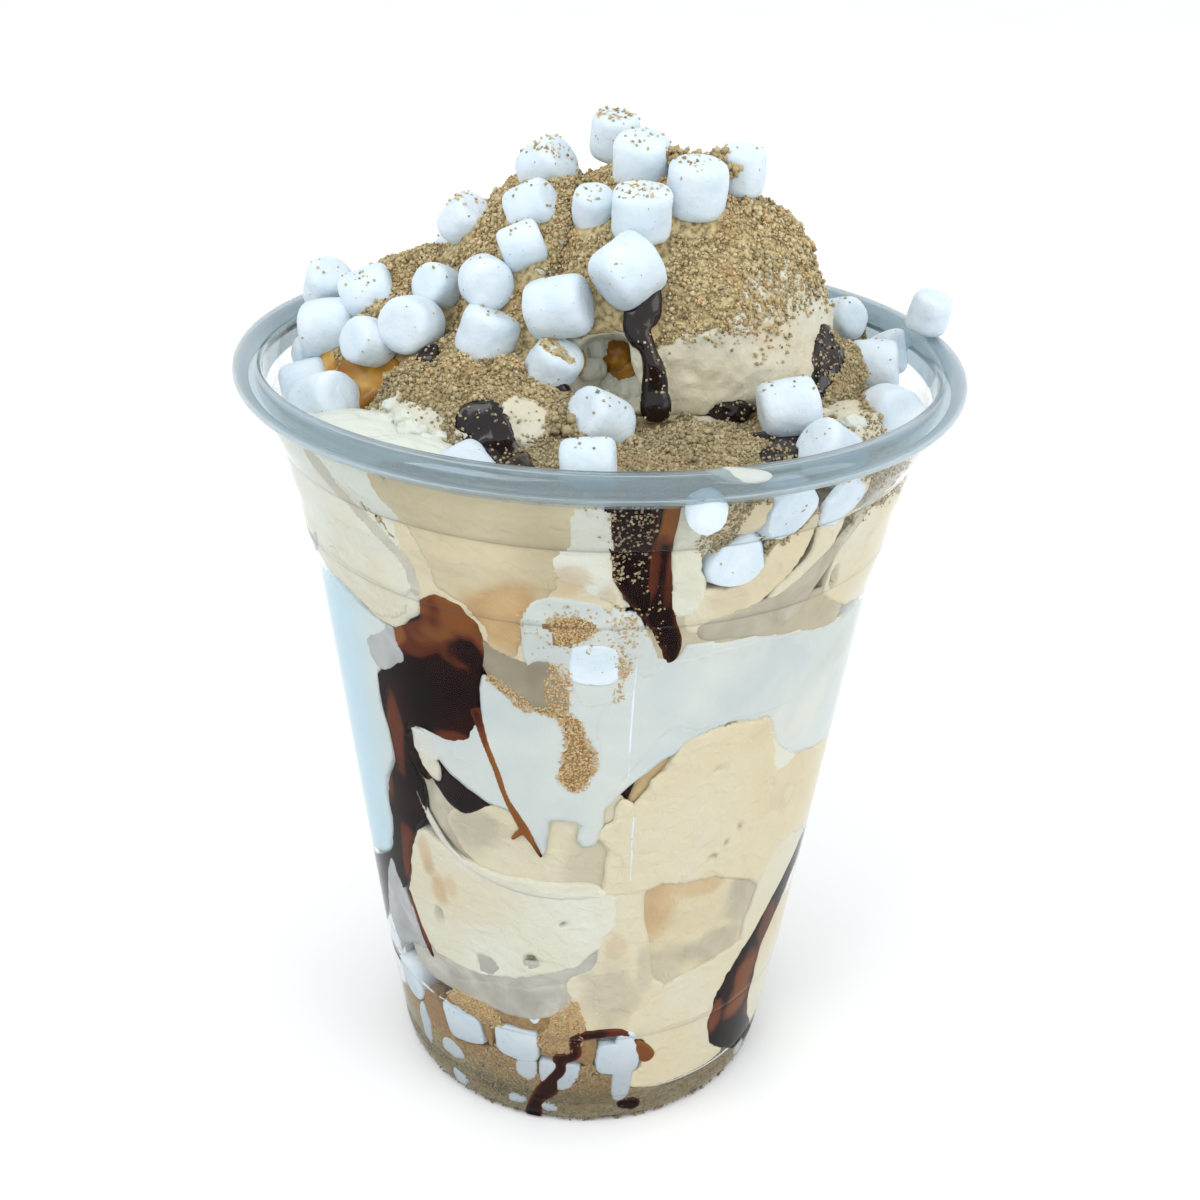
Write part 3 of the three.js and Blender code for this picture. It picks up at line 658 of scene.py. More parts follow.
def food(node, material, voxel=0.6, grow=0.35, rounds=6, bumps=(), depth=0.1, tone=0.0, dust=None,
         seed=1, thin=()):
    """Rebuilds a CAD food solid with soft, uneven surfaces that reach the wall."""
    points, quads = remeshed(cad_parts[node], voxel)
    points = relaxed(points, quads, rounds)
    normal = normals_of(points, quads)
    push = np.full(len(points), grow)
    for k, (size, height) in enumerate(bumps):
        push += rough(points, size, seed * 10 + k) * height
    points = points + normal * push[:, None]
    pits = spots(points, PITS, 6, 0.7)
    points = pressed_to_cup(points, depth - pits * 1.6)
    normal = normals_of(points, quads)
    turn, z, gap = unwrapped(points)
    # deep is painted shade: greyer where the surface lies back from the wall and faces away from the light
    # from above, in the pits and in the painted shade spots.
    deep = smoothstep(1.0, 5, gap) * smoothstep(107, 99, z) * smoothstep(-0.7, 0.3, 0.4 - normal[:, 2])
    deep = np.maximum(deep, pits * smoothstep(3, 0.5, gap) * 0.85)
    deep = np.maximum(deep, spots(points, PAINTED_SHADE_SPOTS, 10, 0.9))
    caramel = np.maximum(spots(points, CARAMEL_AND_SHADE_ON_WALL, 5), balls(points, CARAMEL_AND_SHADE_IN_HEAP, 9, 0.5))
    tones = np.clip(tone + rough(points, 14, seed + 7) * 0.35, 0, 1)
    dusty = dust(points, normal) if dust else np.zeros(len(points))
    # Painted cool light on the left side of the cup.
    blue = smoothstep(-42, -62, turn) * smoothstep(-135, -95, turn)
    obj = piece("soft_" + node, points, quads, material, tone=tones, deep=deep, caramel=caramel,
                dust=dusty, thin=spots(points, thin, 8, 0.6), blue=blue)
    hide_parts(node)
    return points, quads, dusty


SOFT = ((7, 0.7), (2.4, 0.3))
# The upper front scoop's high tone also paints the shade under the rim.
SCOOPS = {  # the tone and the seed
    "scoop_upper_front": (0.85, 11), "scoop_front_right": (0.55, 12), "scoop_upper_left": (0.15, 13),
    "scoop_upper_right": (0.45, 14), "scoop_upper_back": (0.5, 15), "scoop_middle_right": (0.6, 16),
    "scoop_low_right": (0.4, 17), "scoop_low_back": (0.5, 18), "scoop_low_left": (0.3, 19),
}
dusted = [food(node, ICE_CREAM, bumps=SOFT, tone=tone, seed=seed, dust=heap_dust)
          for node, (tone, seed) in SCOOPS.items()]
food("marshmallow_cream", CREAM, 0.65, bumps=((9, 0.8), (3, 0.25)), tone=0.1, seed=21, depth=0.16)
dusted.append(food("scoop_mound", ICE_CREAM, bumps=((6, 1.0), (2, 0.5), (0.9, 0.25)), tone=0.35,
                   seed=22, dust=heap_dust))
dusted.append(food("scoop_top", ICE_CREAM, 0.5, bumps=((8, 0.8), (2.2, 0.45), (0.9, 0.2)), tone=0.3,
                   seed=23, dust=scoop_dust))
food("crumb_base", CRUMB_BED, bumps=((3, 0.5), (1.2, 0.3)), seed=24, depth=0.05)

LEFT_AMBER = [
    (-28, 97, 14, 14, 0.85), (-41.5, 84, 4.5, 4, 0.9), (-36, 84, 7, 4, 0.4), (-19.5, 88, 2, 6, 0.7),
    (-28, 69.5, 7, 1.8, 0.45), (-44, 66, 3, 7, 0.45), (-50, 60, 2, 10, 0.4), (-46, 44, 4, 8, 0.5),
]
RIGHT_AMBER = [(50, 20, 6, 7, 0.7), (40, 17, 3, 4, 0.6), (56, 31, 4, 5, 0.4), (58, 14, 3, 3, 0.4)]
SAUCES = {  # the thin places, the growth and the seed
    "sauce_left": (LEFT_AMBER, 0.0, 51),
    "sauce_right": (RIGHT_AMBER, 0.2, 52),
    "sauce_front": ((), -0.5, 53),
}
for node, (thin, grow, seed) in SAUCES.items():
    food(node, WALL_SAUCE, 0.5, grow, 4, bumps=((5, 0.4),), depth=0.22, seed=seed, thin=thin)


# ---- Uneven balls: small lumps of cream and a crumb-covered ridge ----
@functools.lru_cache
def icosphere(detail):
    """The points and faces of a ball of radius 1."""
    ball = bmesh.new()
    bmesh.ops.create_icosphere(ball, subdivisions=detail, radius=1)
    ball.verts.ensure_lookup_table()
    points = np.array([v.co[:] for v in ball.verts])
    faces = np.array([[v.index for v in f.verts] for f in ball.faces])
    ball.free()
    return points, faces[:, [0, 1, 2, 2]]


def lump(name, at, radii, material, seed, detail=5, rough_by=0.12, dust=0.0, tone=0.3, depth=0.08,
         slot=None):
    """An uneven ball. Without a depth it isn't pressed to the wall."""
    ball, quads = icosphere(detail)
    height = 1 + rough(ball * 2 + seed, 0.9, seed) * rough_by + rough(ball * 2, 0.3, seed + 5) * 0.04
    points = ball * height[:, None] * radii + at
    if depth is not None:
        points = pressed_to_cup(points, depth)
    piece(name, points, quads, material, slot, dust=dust, tone=tone)
    return points, quads, np.full(len(points), dust)


# In the hollow under the top scoop: (x, y, z, size, material). The caramel ones also paint the brown shade
# in the hollow.
CAVE_LUMPS = [
    (-0.4, -8.8, 115.4, 2.1, ICE_CREAM), (-1.6, -9.4, 112.1, 2.4, ICE_CREAM),
    (4.2, -10, 109.7, 2.2, ICE_CREAM), (1.4, -9, 109.8, 2, ICE_CREAM), (2.2, -8.6, 114.2, 2.4, CARAMEL),
    (3.2, -8.9, 112.4, 2, CARAMEL), (-3.4, -11, 113.6, 1.6, CARAMEL),
]
for k, (x, y, z, size, material) in enumerate(CAVE_LUMPS):
    lump(f"cave_lump_{k + 1}", (x, y, z), (size, size, size * 1.1), material, 160 + k, 4, 0.25,
         tone=0.1, slot="ice_cream")
# Bare cream on the left of the heap: (x, y, z, radius x, radius y, radius z).
BARE_LUMPS = [(-31, -25, 105.6, 9, 10, 4.4), (-24, -31, 105.4, 9, 7.5, 4.4), (-35, -17, 104.6, 5, 7, 3.6)]
for k, (x, y, z, rx, ry, rz) in enumerate(BARE_LUMPS):
    lump(f"bare_cream_{k + 1}", (x, y, z), (rx, ry, rz), ICE_CREAM, 170 + k, 5, 0.08, tone=-0.1,
         depth=0.055 + 0.007 * k)
dusted.append(lump("crumb_ridge", (28.5, 3.5, 106.5), (8.2, 10.5, 8), ICE_CREAM, 61, dust=1.0))


# ---- Marshmallows: short rounded cylinders ----
MARSHMALLOW_RADIUS = 3.4
MARSHMALLOW_HALF = 3.25
PRESSED_IN = 2.2
ROUNDNESS = 6.6  # 2 would be a ball, more is nearer to a sharp-edged cylinder
# Each is (turn, z, axis turn, lean, size, dust): where it is, how its axis is turned and leans from
# upright, its size against the usual one, and how many crumbs lie on it.
WALL_MARSHMALLOWS = [
    (0.5, 85, 0, 8, 0.95, 0.25), (23, 99, 60, 80, 1.05, 0.05), (31, 105, 40, 60, 1, 0),
    (-35, 15.5, 60, 80, 1.05, 0.2), (-17.5, 16, -10, 12, 1, 0.1), (-5.5, 10.5, 10, 20, 0.9, 0),
    (11, 14.2, 15, 8, 1, 0), (-58, 16.5, -50, 70, 1.05, 0),
]
# Each is (x, y, z, axis turn, lean, size, dust).
TOP_MARSHMALLOWS = [
    (1, 9, 138.5, 20, 10, 0.95, 0.5), (-8, 7.5, 134.5, 60, 55, 1, 0.5), (4.5, 0, 137, 0, 12, 1.1, 0.3),
    (4.5, -8.5, 132.5, 0, 15, 1.05, 0.5), (-1.5, -5, 132, 10, 25, 0.8, 0.3),
    (11.5, -4.5, 135, 8, 10, 1.1, 0.4), (17.5, 1.5, 136, 10, 5, 0.95, 0.1),
    (-9.5, -2.5, 131.5, 70, 60, 0.9, 0.4), (-10.5, -7, 127.5, 100, 70, 0.85, 0.3),
    (-18.5, 2, 128.5, 50, 45, 0.9, 0.5), (3, -14, 126.5, 120, 60, 1.15, 0),
    (-15, -8.5, 123, 15, 85, 1, 0.1), (-21.5, -4, 121, -35, 65, 0.85, 0.1),
    (-5.5, -13.5, 121.5, 75, 75, 1.2, 0.05), (-14.5, -12, 117, 100, 20, 1.05, 0.2),
    (-6, -15.5, 114.5, 60, 35, 0.95, 0.7), (-24.5, -9.5, 117.5, -20, 80, 1.05, 0.1),
    (-30, -9.5, 115, -50, 70, 0.9, 0.1), (-31, -1.5, 119, 95, 70, 1.05, 0.2),
    (-37.5, 5, 118, 30, 35, 0.95, 0.1), (-36, -2.5, 114.5, 80, 80, 1.15, 0),
    (-39.5, 3, 109, 20, 75, 0.85, 0), (-39, -6, 107.5, 95, 75, 1, 0), (-35.5, -13.5, 108, 60, 65, 1.1, 0),
    (0, -21.5, 109.5, -50, 60, 1.1, 0.2), (-1, -38.5, 110, 90, 85, 1, 0.1),
    (24, -17.5, 110.5, 95, 80, 1.15, 0.15), (28.5, -25, 107.6, -60, 55, 1.05, 0),
    (38.5, 7, 108.6, 80, 85, 1.05, 0.05), (39.2, -4.5, 105.8, 20, 80, 1.1, 0),
    (41.6, 13.5, 108.4, 40, 60, 0.9, 0), (35.3, 20.5, 111.2, 40, 70, 0.9, 0.1),
    (-20, 18, 120.5, 130, 60, 1, 0.3), (3, 20, 128.5, 200, 50, 1.05, 0.3),
    (45.5, 8, 116.2, 60, 12, 0.85, 0),
]


def turned_by(turn, lean):
    a, b = math.radians(turn), math.radians(lean)
    about_x = np.array([[1, 0, 0], [0, math.cos(b), -math.sin(b)], [0, math.sin(b), math.cos(b)]])
    about_z = np.array([[math.cos(a), -math.sin(a), 0], [math.sin(a), math.cos(a), 0], [0, 0, 1]])
    return about_z @ about_x


def marshmallow(index, at, turn, lean, size, dust, at_wall):
    ball, quads = icosphere(4)
    across = np.hypot(ball[:, 0], ball[:, 1])
    bulge = (across**ROUNDNESS + np.abs(ball[:, 2]) ** ROUNDNESS) ** (-1 / ROUNDNESS)
    uneven = 1 + noise(ball + index * 7, 0.8, index) * 0.045 + noise(ball + index, 0.3, index) * 0.024
    points = ball * (bulge * uneven)[:, None]
    waist = 1 + 0.03 * (1 - points[:, 2] ** 2)  # fuller in the middle of its length
    points = points * [MARSHMALLOW_RADIUS * size, MARSHMALLOW_RADIUS * size, MARSHMALLOW_HALF * size]
    points[:, :2] *= waist[:, None]
    rng = np.random.default_rng(900 + index)
    points[:, :2] *= rng.uniform(0.94, 1.05, 2)
    points = points @ turned_by(turn, lean).T + at
    if at_wall:
        points = pressed_to_cup(points, 0.3, 0.3, 0.9)
    normal = normals_of(points, quads)
    dusty = dust * smoothstep(0.35, 0.9, normal[:, 2] + noise(points, 3, index) * 0.4)
    node = f"marshmallow_{index:02d}"
    obj = piece("soft_" + node, points, quads, MARSHMALLOW, dust=dusty)
    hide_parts(node)
    return points, quads, dusty * 0.6


for k, (turn, z, *rest) in enumerate(WALL_MARSHMALLOWS):
    marshmallow(k + 1, polar(turn, wall_radius(z) - PRESSED_IN, z), *rest, True)
sprinkled = []
for k, (x, y, z, *rest) in enumerate(TOP_MARSHMALLOWS):
    near_wall = math.hypot(x, y) > 34 and z < 109
    sprinkled.append(marshmallow(len(WALL_MARSHMALLOWS) + k + 1, (x, y, z), *rest, near_wall))


# ---- Shapes drawn flat, then laid on the wall or on the heap ----
def curve_through(points, closed, parts=6):
    p = np.asarray(points, float)
    before, after, beyond = (np.roll(p, k, axis=0) for k in (1, -1, -2))
    if not closed:
        before[0] = p[0]
        after[-1] = p[-1]
        beyond[-2:] = p[-1]
    t = (np.arange(parts) / parts)[:, None, None]
    linear = (after - before) * t
    square = (2 * before - 5 * p + 4 * after - beyond) * t**2
    cube = (3 * p - before - 3 * after + beyond) * t**3
    curve = (0.5 * (2 * p + linear + square + cube)).transpose(1, 0, 2).reshape(-1, p.shape[1])
    if not closed:
        curve = np.concatenate([curve[: (len(p) - 1) * parts], p[-1:]])
    return curve


def from_segments(where, a, b):
    """The share along each segment where it comes nearest to each place, and how far off it is."""
    along = b - a
    away = where[:, None] - a[None]
    t = np.clip((away * along).sum(2) / np.maximum((along**2).sum(1), 1e-12), 0, 1)
    return t, np.linalg.norm(away - t[..., None] * along, axis=2)


def within_outline(where, outline):
    """How far each place is inside a closed outline. It is negative outside."""
    a, b = outline, np.roll(outline, -1, axis=0)
    far = from_segments(where, a, b)[1].min(1)
    along = b - a
    x, y = where[:, :1], where[:, 1:]
    crosses = (a[:, 1] > y) != (b[:, 1] > y)
    slope = along[:, 0] / np.where(np.abs(along[:, 1]) < 1e-9, 1e-9, along[:, 1])
    inside = (crosses & (x < a[:, 0] + (y - a[:, 1]) * slope)).sum(1) % 2 == 1
    return np.where(inside, far, -far)


def within_stroke(where, stroke):
    """How far each place is inside a brush stroke whose points are (u, v, half width)."""
    a, b = stroke[:-1], stroke[1:]
    t, far = from_segments(where, a[:, :2], b[:, :2])
    return (a[:, 2] + (b[:, 2] - a[:, 2]) * t - far).max(1)


PER_DEGREE = 0.62  # millimetres along the wall for a degree


def drawn(outlines=(), strokes=(), across=1.0, ragged=0.25, seed=1, ragged_size=2.0):
    """A field that is positive inside the outlines and strokes, and the box round them."""
    scale = np.array([across, 1])
    shapes = [curve_through(np.asarray(o, float) * scale, True) for o in outlines]
    lines = [curve_through(np.asarray(s, float) * [across, 1, 1], False) for s in strokes]
    every = np.concatenate([s[:, :2] for s in shapes + lines])
    wide = max([line[:, 2].max() for line in lines], default=0) + 1

    def field(where):
        values = [within_outline(where, s) for s in shapes] + [within_stroke(where, s) for s in lines]
        flat = np.concatenate([where, np.full((len(where), 1), seed * 3.7)], axis=1)
        return np.max(values, axis=0) + rough(flat, ragged_size, seed) * ragged

    return field, every.min(0) - wide, every.max(0) + wide


def trimmed_sheet(shape, step):
    """Grid cells inside a field's zero line, with their edge moved onto that line."""
    field, low, high = shape
    us = np.arange(low[0], high[0] + step, step)
    vs = np.arange(low[1], high[1] + step, step)
    grid = np.stack(np.meshgrid(us, vs, indexing="ij"), axis=-1).reshape(-1, 2)
    i, j = np.meshgrid(np.arange(len(us) - 1), np.arange(len(vs) - 1), indexing="ij")
    corner = (i * len(vs) + j).ravel()
    inside = field(grid[corner] + step / 2) > 0
    corner = corner[inside]
    quads = np.stack([corner, corner + len(vs), corner + len(vs) + 1, corner + 1], axis=1)
    used, quads = np.unique(quads, return_inverse=True)
    quads = quads.reshape(-1, 4)
    flat = grid[used]
    rim = np.bincount(quads.ravel(), minlength=len(flat)) < 4
    for _ in range(4):
        at = flat[rim]
        value = field(at)
        nudge = step * 0.2
        rises = [field(at + way) - field(at - way) for way in ([nudge, 0], [0, nudge])]
        slope = np.stack(rises, axis=1) / (2 * nudge)
        move = -value[:, None] * slope / np.maximum((slope**2).sum(1), 0.2)[:, None]
        flat[rim] = at + np.clip(move, -step * 0.4, step * 0.4)
    return flat, quads, np.maximum(field(flat), 0)


def closed_body(front, back, quads):
    """Joins a front and a back sheet along their common edge."""
    sides = np.concatenate([quads[:, [k, (k + 1) % 4]] for k in range(4)])
    keys = np.sort(sides, axis=1)
    _, back_to, times = np.unique(keys, axis=0, return_inverse=True, return_counts=True)
    edge = sides[times[back_to.reshape(-1)] == 1]
    count = len(front)
    rim = np.stack([edge[:, 1], edge[:, 0], edge[:, 0] + count, edge[:, 1] + count], axis=1)
    faces = np.concatenate([quads, quads[:, ::-1] + count, rim])
    points = np.concatenate([front, back])
    return points, outward(points, faces)


def outward(points, faces):
    a, b, c, d = (points[faces[:, k]] for k in range(4))
    volume = np.einsum("ij,ij->", a, np.cross(b, c)) + np.einsum("ij,ij->", a, np.cross(c, d))
    return faces if volume > 0 else faces[:, ::-1]


def rounded(inside, thickness, width):
    return thickness * np.sqrt(1 - (1 - np.clip(inside / width, 0, 1)) ** 2)


def on_wall(name, material, depth, thickness, outlines=(), strokes=(), ragged=0.25, seed=1, step=0.35,
            thin=None, marks=None, ragged_size=2.0, slot=None, **attributes):
    """A flat piece that lies on the wall, as deep in the sheet as depth says.

    thin: spots of thin sauce. marks: spots of an attribute. The rest are even attributes.
    """
    shape = drawn(outlines, strokes, PER_DEGREE, ragged, seed, ragged_size)
    flat, quads, inside = trimmed_sheet(shape, step)
    turn = flat[:, 0] / PER_DEGREE
    z = np.maximum(flat[:, 1], FLOOR_TOP * 0.2)
    outer = wall_radius(z) + depth - 0.25 * (1 - rounded(inside, 1, 0.4))
    inner = outer - 0.1 - rounded(inside, thickness, thickness * 1.2)
    points, faces = closed_body(polar(turn, outer, z), polar(turn, inner, z), quads)
    if thin is not None:
        edge = smoothstep(0.9, 0.0, np.concatenate([inside, inside])) * 0.25
        attributes["thin"] = np.clip(spots(points, thin, seed, 0.5) + edge, 0, 1)
    for key, places in (marks or {}).items():
        attributes[key] = spots(points, places, seed, 0.5)
    piece(name, points, faces, material, slot, **attributes)


# Outlines at the wall are (turn, z) points. Strokes are (turn, z, half width) points.
# Air pockets between the scoops, drawn as sheets of painted shade, warm ones and ones in painted cool
# light.
POCKETS = {
    "middle": [(-20.5, 87), (-16, 85.5), (-12, 84.5), (-7, 85), (-5, 83), (-3, 79), (-4.5, 76),
        (-9, 76.5), (-13, 77.5), (-18, 80), (-20.5, 83)],
    "right": [(34, 86.5), (26, 87), (20, 87.5), (18, 90), (25, 91.8), (33, 92.5), (40, 95.5), (46, 99),
        (50, 99.5), (46, 95), (42, 91), (38, 87.5)],
    "smear": [(44, 97.5), (50, 101.5), (56, 105), (58, 104.2), (52, 99.8), (47, 96.8)],
}
BLUE_POCKETS = {
    "left": [(-50, 80), (-46, 81.8), (-41, 83.8), (-38, 80), (-42, 77), (-47, 76), (-50, 78)],
    "void": [(-56, 41), (-52.5, 38), (-49, 33), (-45, 28), (-50, 26.5), (-57, 24), (-63, 24), (-64, 31)],
    "low": [(-46, 26), (-38, 25), (-30, 26), (-22, 27.5), (-14, 28), (-5, 29.5), (-2, 26), (-6, 23),
        (-13, 21.5), (-22, 21.5), (-30, 22), (-38, 22.5), (-46, 23)],
    "edge": [(-85, 87), (-76, 89.5), (-66, 91), (-62, 92.5), (-64, 89), (-72, 86.5), (-80, 84.5)],
}
# Each pocket is a thin sheet of painted shade; the middle one is painted darker, and the left ones take
# painted cool light, the low one less of it.
for k, (name, outline) in enumerate(POCKETS.items()):
    on_wall("painted_shade_pocket_" + name, POCKET_SHADE, 0.17, 0.8, [outline], seed=61 + k,
            dim=0.5 if name == "middle" else 0.0)
for k, (name, outline) in enumerate(BLUE_POCKETS.items()):
    on_wall("painted_shade_pocket_" + name, POCKET_SHADE, 0.225, 0.8, [outline], seed=66 + k, ragged=0.5,
            blue=0.4 if name == "low" else 1.0)

# Ice cream that closes the gaps between the scoops at the wall: the outline, its tone and its marks. Deep
# marks are painted shade.
FILLS = {
    "upper_left": ([(-62, 90), (-60, 97), (-56, 103), (-50, 107), (-30, 107), (-31, 91), (-36, 86),
        (-39, 84), (-46, 84.5), (-56, 88)], 0.25, {}),
    "upper_middle": ([(-33, 107.5), (3, 107.5), (4, 94), (-3, 88), (-8, 84), (-14, 82), (-20, 82),
        (-26, 84), (-32, 91)], 0.6, {"caramel": [(-5, 98, 4, 4, 0.3)]}),
    "upper_right": ([(30, 89.5), (36, 90), (42, 94), (46, 101), (48, 107), (40, 104), (38, 97), (32, 93)],
        0.45, {}),
    "under_sauce": ([(9, 83), (16, 83), (24, 84), (40, 82), (54, 80), (54, 90), (40, 91), (28, 91),
        (14, 93), (9, 90)], 0.9, {"deep": [(30, 88, 40, 10, 0.5)]}),
    "right": ([(33, 62), (46, 52), (60, 52), (74, 58), (74, 78), (34, 78)], 0.6, {}),
    "between": ([(6, 62), (10, 62), (14, 56), (16, 50), (14, 46), (14.3, 42), (16.5, 36), (18.5, 30),
        (22, 27), (19, 20), (8, 19), (-2, 19.5), (-4, 30), (3, 34), (4, 48)], 0.5,
        {"caramel": [(8, 37, 3, 2.5, 0.25)], "deep": [(7, 27, 8, 7, 0.55), (16, 32, 3, 5, 0.5)]}),
    "lower_right": ([(44.5, 34), (46.5, 38), (47.5, 46), (47, 52), (52, 54), (62, 57), (74, 60), (76, 48),
        (66, 40), (58, 32), (52, 27), (46, 29)], 0.4, {}),
}
for k, (name, (outline, tone, marks)) in enumerate(FILLS.items()):
    on_wall("fill_" + name, ICE_CREAM, 0.014 + 0.006 * k, 1.5, [outline], seed=120 + k,
            marks=marks, tone=tone)
# Low at the front, a sheet of painted shade, half in painted cool light.
LOW_FILL = [
    (-50, 23), (-52, 30), (-47, 36), (-38, 34), (-20, 33), (-4, 33.5), (4, 36), (6, 30), (7, 22),
    (0, 20.5), (-20, 21), (-38, 22),
]
on_wall("fill_low", POCKET_SHADE, 0.006, 1.5, [LOW_FILL], seed=127, blue=0.5)

WINDOW = [
    (10, 26), (10, 38), (11, 46), (16, 49), (29, 50), (37, 50), (42, 51.5), (48, 51), (54, 46), (57, 37),
    (52, 30), (42, 28), (32, 26), (22, 24),
]
WINDOW_TOP = [
    (31, 47), (35.4, 45.2), (42, 43.4), (47.1, 41.2), (50, 44), (53, 51), (46, 55), (38, 53), (31, 50),
]
RECESS_LUMP = [
    (-33, 55), (-28, 58.5), (-20, 60.5), (-8, 61), (8, 63), (8, 45), (0, 44.5), (-8, 45), (-16, 46),
    (-24, 48), (-30, 51),
]
RECESS_GREY = [
    (-44, 61), (-38, 63), (-30, 62.5), (-22, 62.5), (-12, 61), (-10, 50), (-20, 46), (-28, 48.5),
    (-36, 53),
]
# Painted shade: a faint sheet in the recess, and greyer marks on the lump in front of it.
on_wall("recess_grey", POCKET_SHADE, -0.5, 1.5, [RECESS_GREY], seed=61, dim=0.0)
on_wall("recess_lump", ICE_CREAM, -0.4, 2, [RECESS_LUMP], seed=64, ragged=0.5, tone=0.5,
        marks={"deep": [(-26, 55, 8, 5, 0.7), (2, 50, 7, 8, 0.4)]})
# The window's deep marks are painted shade; its caramel marks are caramel and shade.
WINDOW_MARKS = {
    "caramel": [(16.5, 43, 6, 6, 0.5), (27, 46, 9, 2.5, 0.4)],
    "deep": [(44, 40, 8, 6, 0.8), (32, 33, 15, 3.5, 0.8), (21, 30, 6, 4, 0.6)],
}
on_wall("window", ICE_CREAM, -0.3, 1.5, [WINDOW], seed=70, marks=WINDOW_MARKS, tone=0.7)
JOIN = [
    (5.5, 60), (2.5, 57.3), (5, 54.5), (7.6, 52.8), (6, 49), (5, 46.5), (15, 47), (22, 50), (27, 57),
    (26, 66), (20, 71), (17.5, 69.5), (14.5, 67), (11, 63.5), (8.5, 61),
]
on_wall("scoop_join", ICE_CREAM, 0.112, 1.5, [JOIN], seed=62, ragged=0.6, tone=0.55)
on_wall("window_top", ICE_CREAM, 0.115, 1.5, [WINDOW_TOP], seed=68, tone=0.6)
# A stripe of painted shade between the scoops.
GREY_STRIPE = [
    (-54, 108), (-48, 107), (-42, 102.5), (-36, 99.5), (-32, 96), (-31, 91.5), (-33.5, 91), (-35, 95),
    (-39, 97.5), (-45, 100.5), (-51, 104),
]
on_wall("grey_stripe", ICE_CREAM, 0.13, 1, [GREY_STRIPE], seed=69, tone=0.1, deep=0.6)
CENTRE_COLUMN = [
    (-4, 107.5), (3, 107.5), (3.2, 100), (4.5, 95), (6, 93.5), (0, 94.5), (-3, 96), (-6, 97), (-7, 100),
    (-4.5, 103),
]
on_wall("centre_column", ICE_CREAM, 0.12, 1.5, [CENTRE_COLUMN], seed=67, ragged=0.5, tone=0.1,
        marks={"caramel": [(-4, 97.5, 4, 2.5, 0.4), (3, 95, 3, 2, 0.35)]})
SIDE_LUMPS = [
    (12, 107.5), (17, 107.5), (18.5, 103), (17.5, 99), (19, 96), (17.5, 92.3), (15, 91.5), (13, 93),
    (12, 97),
]
on_wall("side_lumps", ICE_CREAM, 0.14, 1.5, [SIDE_LUMPS], seed=66, ragged=0.7, tone=0.2)
RIGHT_FACE = [
    (38, 85), (50, 83.5), (60, 83), (68, 80), (71, 74), (66, 69.5), (56, 66), (50, 62.5), (44, 61.5),
    (41.5, 66), (40, 72),
]
on_wall("right_face", ICE_CREAM, 0.12, 1.5, [RIGHT_FACE], seed=65, ragged=0.6, tone=0.2)

MELT = [
    (-12, 83.5), (-12.7, 88), (-12.3, 91.5), (-9.5, 94.2), (-5, 94.5), (1, 93.8), (4, 92.3), (6.5, 92.8),
    (8.5, 91), (9.5, 88.5), (11, 86), (11, 80), (4, 78.5), (-1, 77.8), (-3, 79.5), (-5.5, 83), (-7.5, 84),
    (-9.5, 84.3),
]
CREAM_FRONT = [
    (-21, 80.5), (-19, 80.8), (-16, 79), (-12.5, 77.6), (-9, 77), (-6, 76.4), (-5, 73), (-5.3, 69),
    (-3, 65.5), (0, 67), (1.5, 71), (0.5, 75), (2, 78), (7, 81), (12, 84.5), (18, 85.5), (30, 86.3),
    (40, 84.5), (48, 82), (46, 74), (38, 73), (28, 73.8), (21, 73), (16.5, 74), (13, 71.3), (9.5, 68.3),
    (6.5, 65), (4, 62), (3.4, 58), (2, 55.7), (-0.5, 55), (-1.9, 56.5), (-2.1, 59.2), (-7.4, 59.3),
    (-8, 57), (-8.6, 54.3), (-9.6, 53), (-11, 55.3), (-13.5, 57.3), (-17, 60), (-21, 60.5), (-26, 62.2),
    (-30, 63.7), (-33, 65.6), (-36, 68.3), (-37, 71), (-28, 72), (-22, 74),
]
on_wall("melted_cream", CREAM, 0.18, 2.5, [MELT], seed=71, tone=0.1)
on_wall("cream_front", CREAM, 0.2, 2.6, [CREAM_FRONT], seed=72, tone=0.05, step=0.45)
LIP = [
    (-40, 58, 0.4), (-37, 54, 0.6), (-32, 50, 0.6), (-25, 47.6, 0.5), (-15, 46.3, 0.6), (-5, 46, 0.5),
    (3, 46.5, 0.4),
]
# Painted highlights: thin bright lines down the front that stand in for light reflected by the wall.
PAINTED_HIGHLIGHT_LINES = [
    [(8.2, 86, 0.2), (8, 80, 0.26), (7.9, 72, 0.22), (8.1, 67, 0.15)],
    [(9.9, 61, 0.15), (9.8, 57, 0.22), (10, 53, 0.24), (10.1, 49, 0.15)],
]
# The lip is a little greyer with painted shade.
on_wall("cream_lip", CREAM, 0.24, 0.6, strokes=[LIP], ragged=0.12, seed=73, tone=0.7, deep=0.15)
# The painted highlights are white sheets in the wall.
on_wall("painted_highlight_streaks", MARSHMALLOW, 0.28, 0.4, strokes=PAINTED_HIGHLIGHT_LINES, ragged=0.08, seed=74, step=0.2,
        slot="marshmallow_cream")

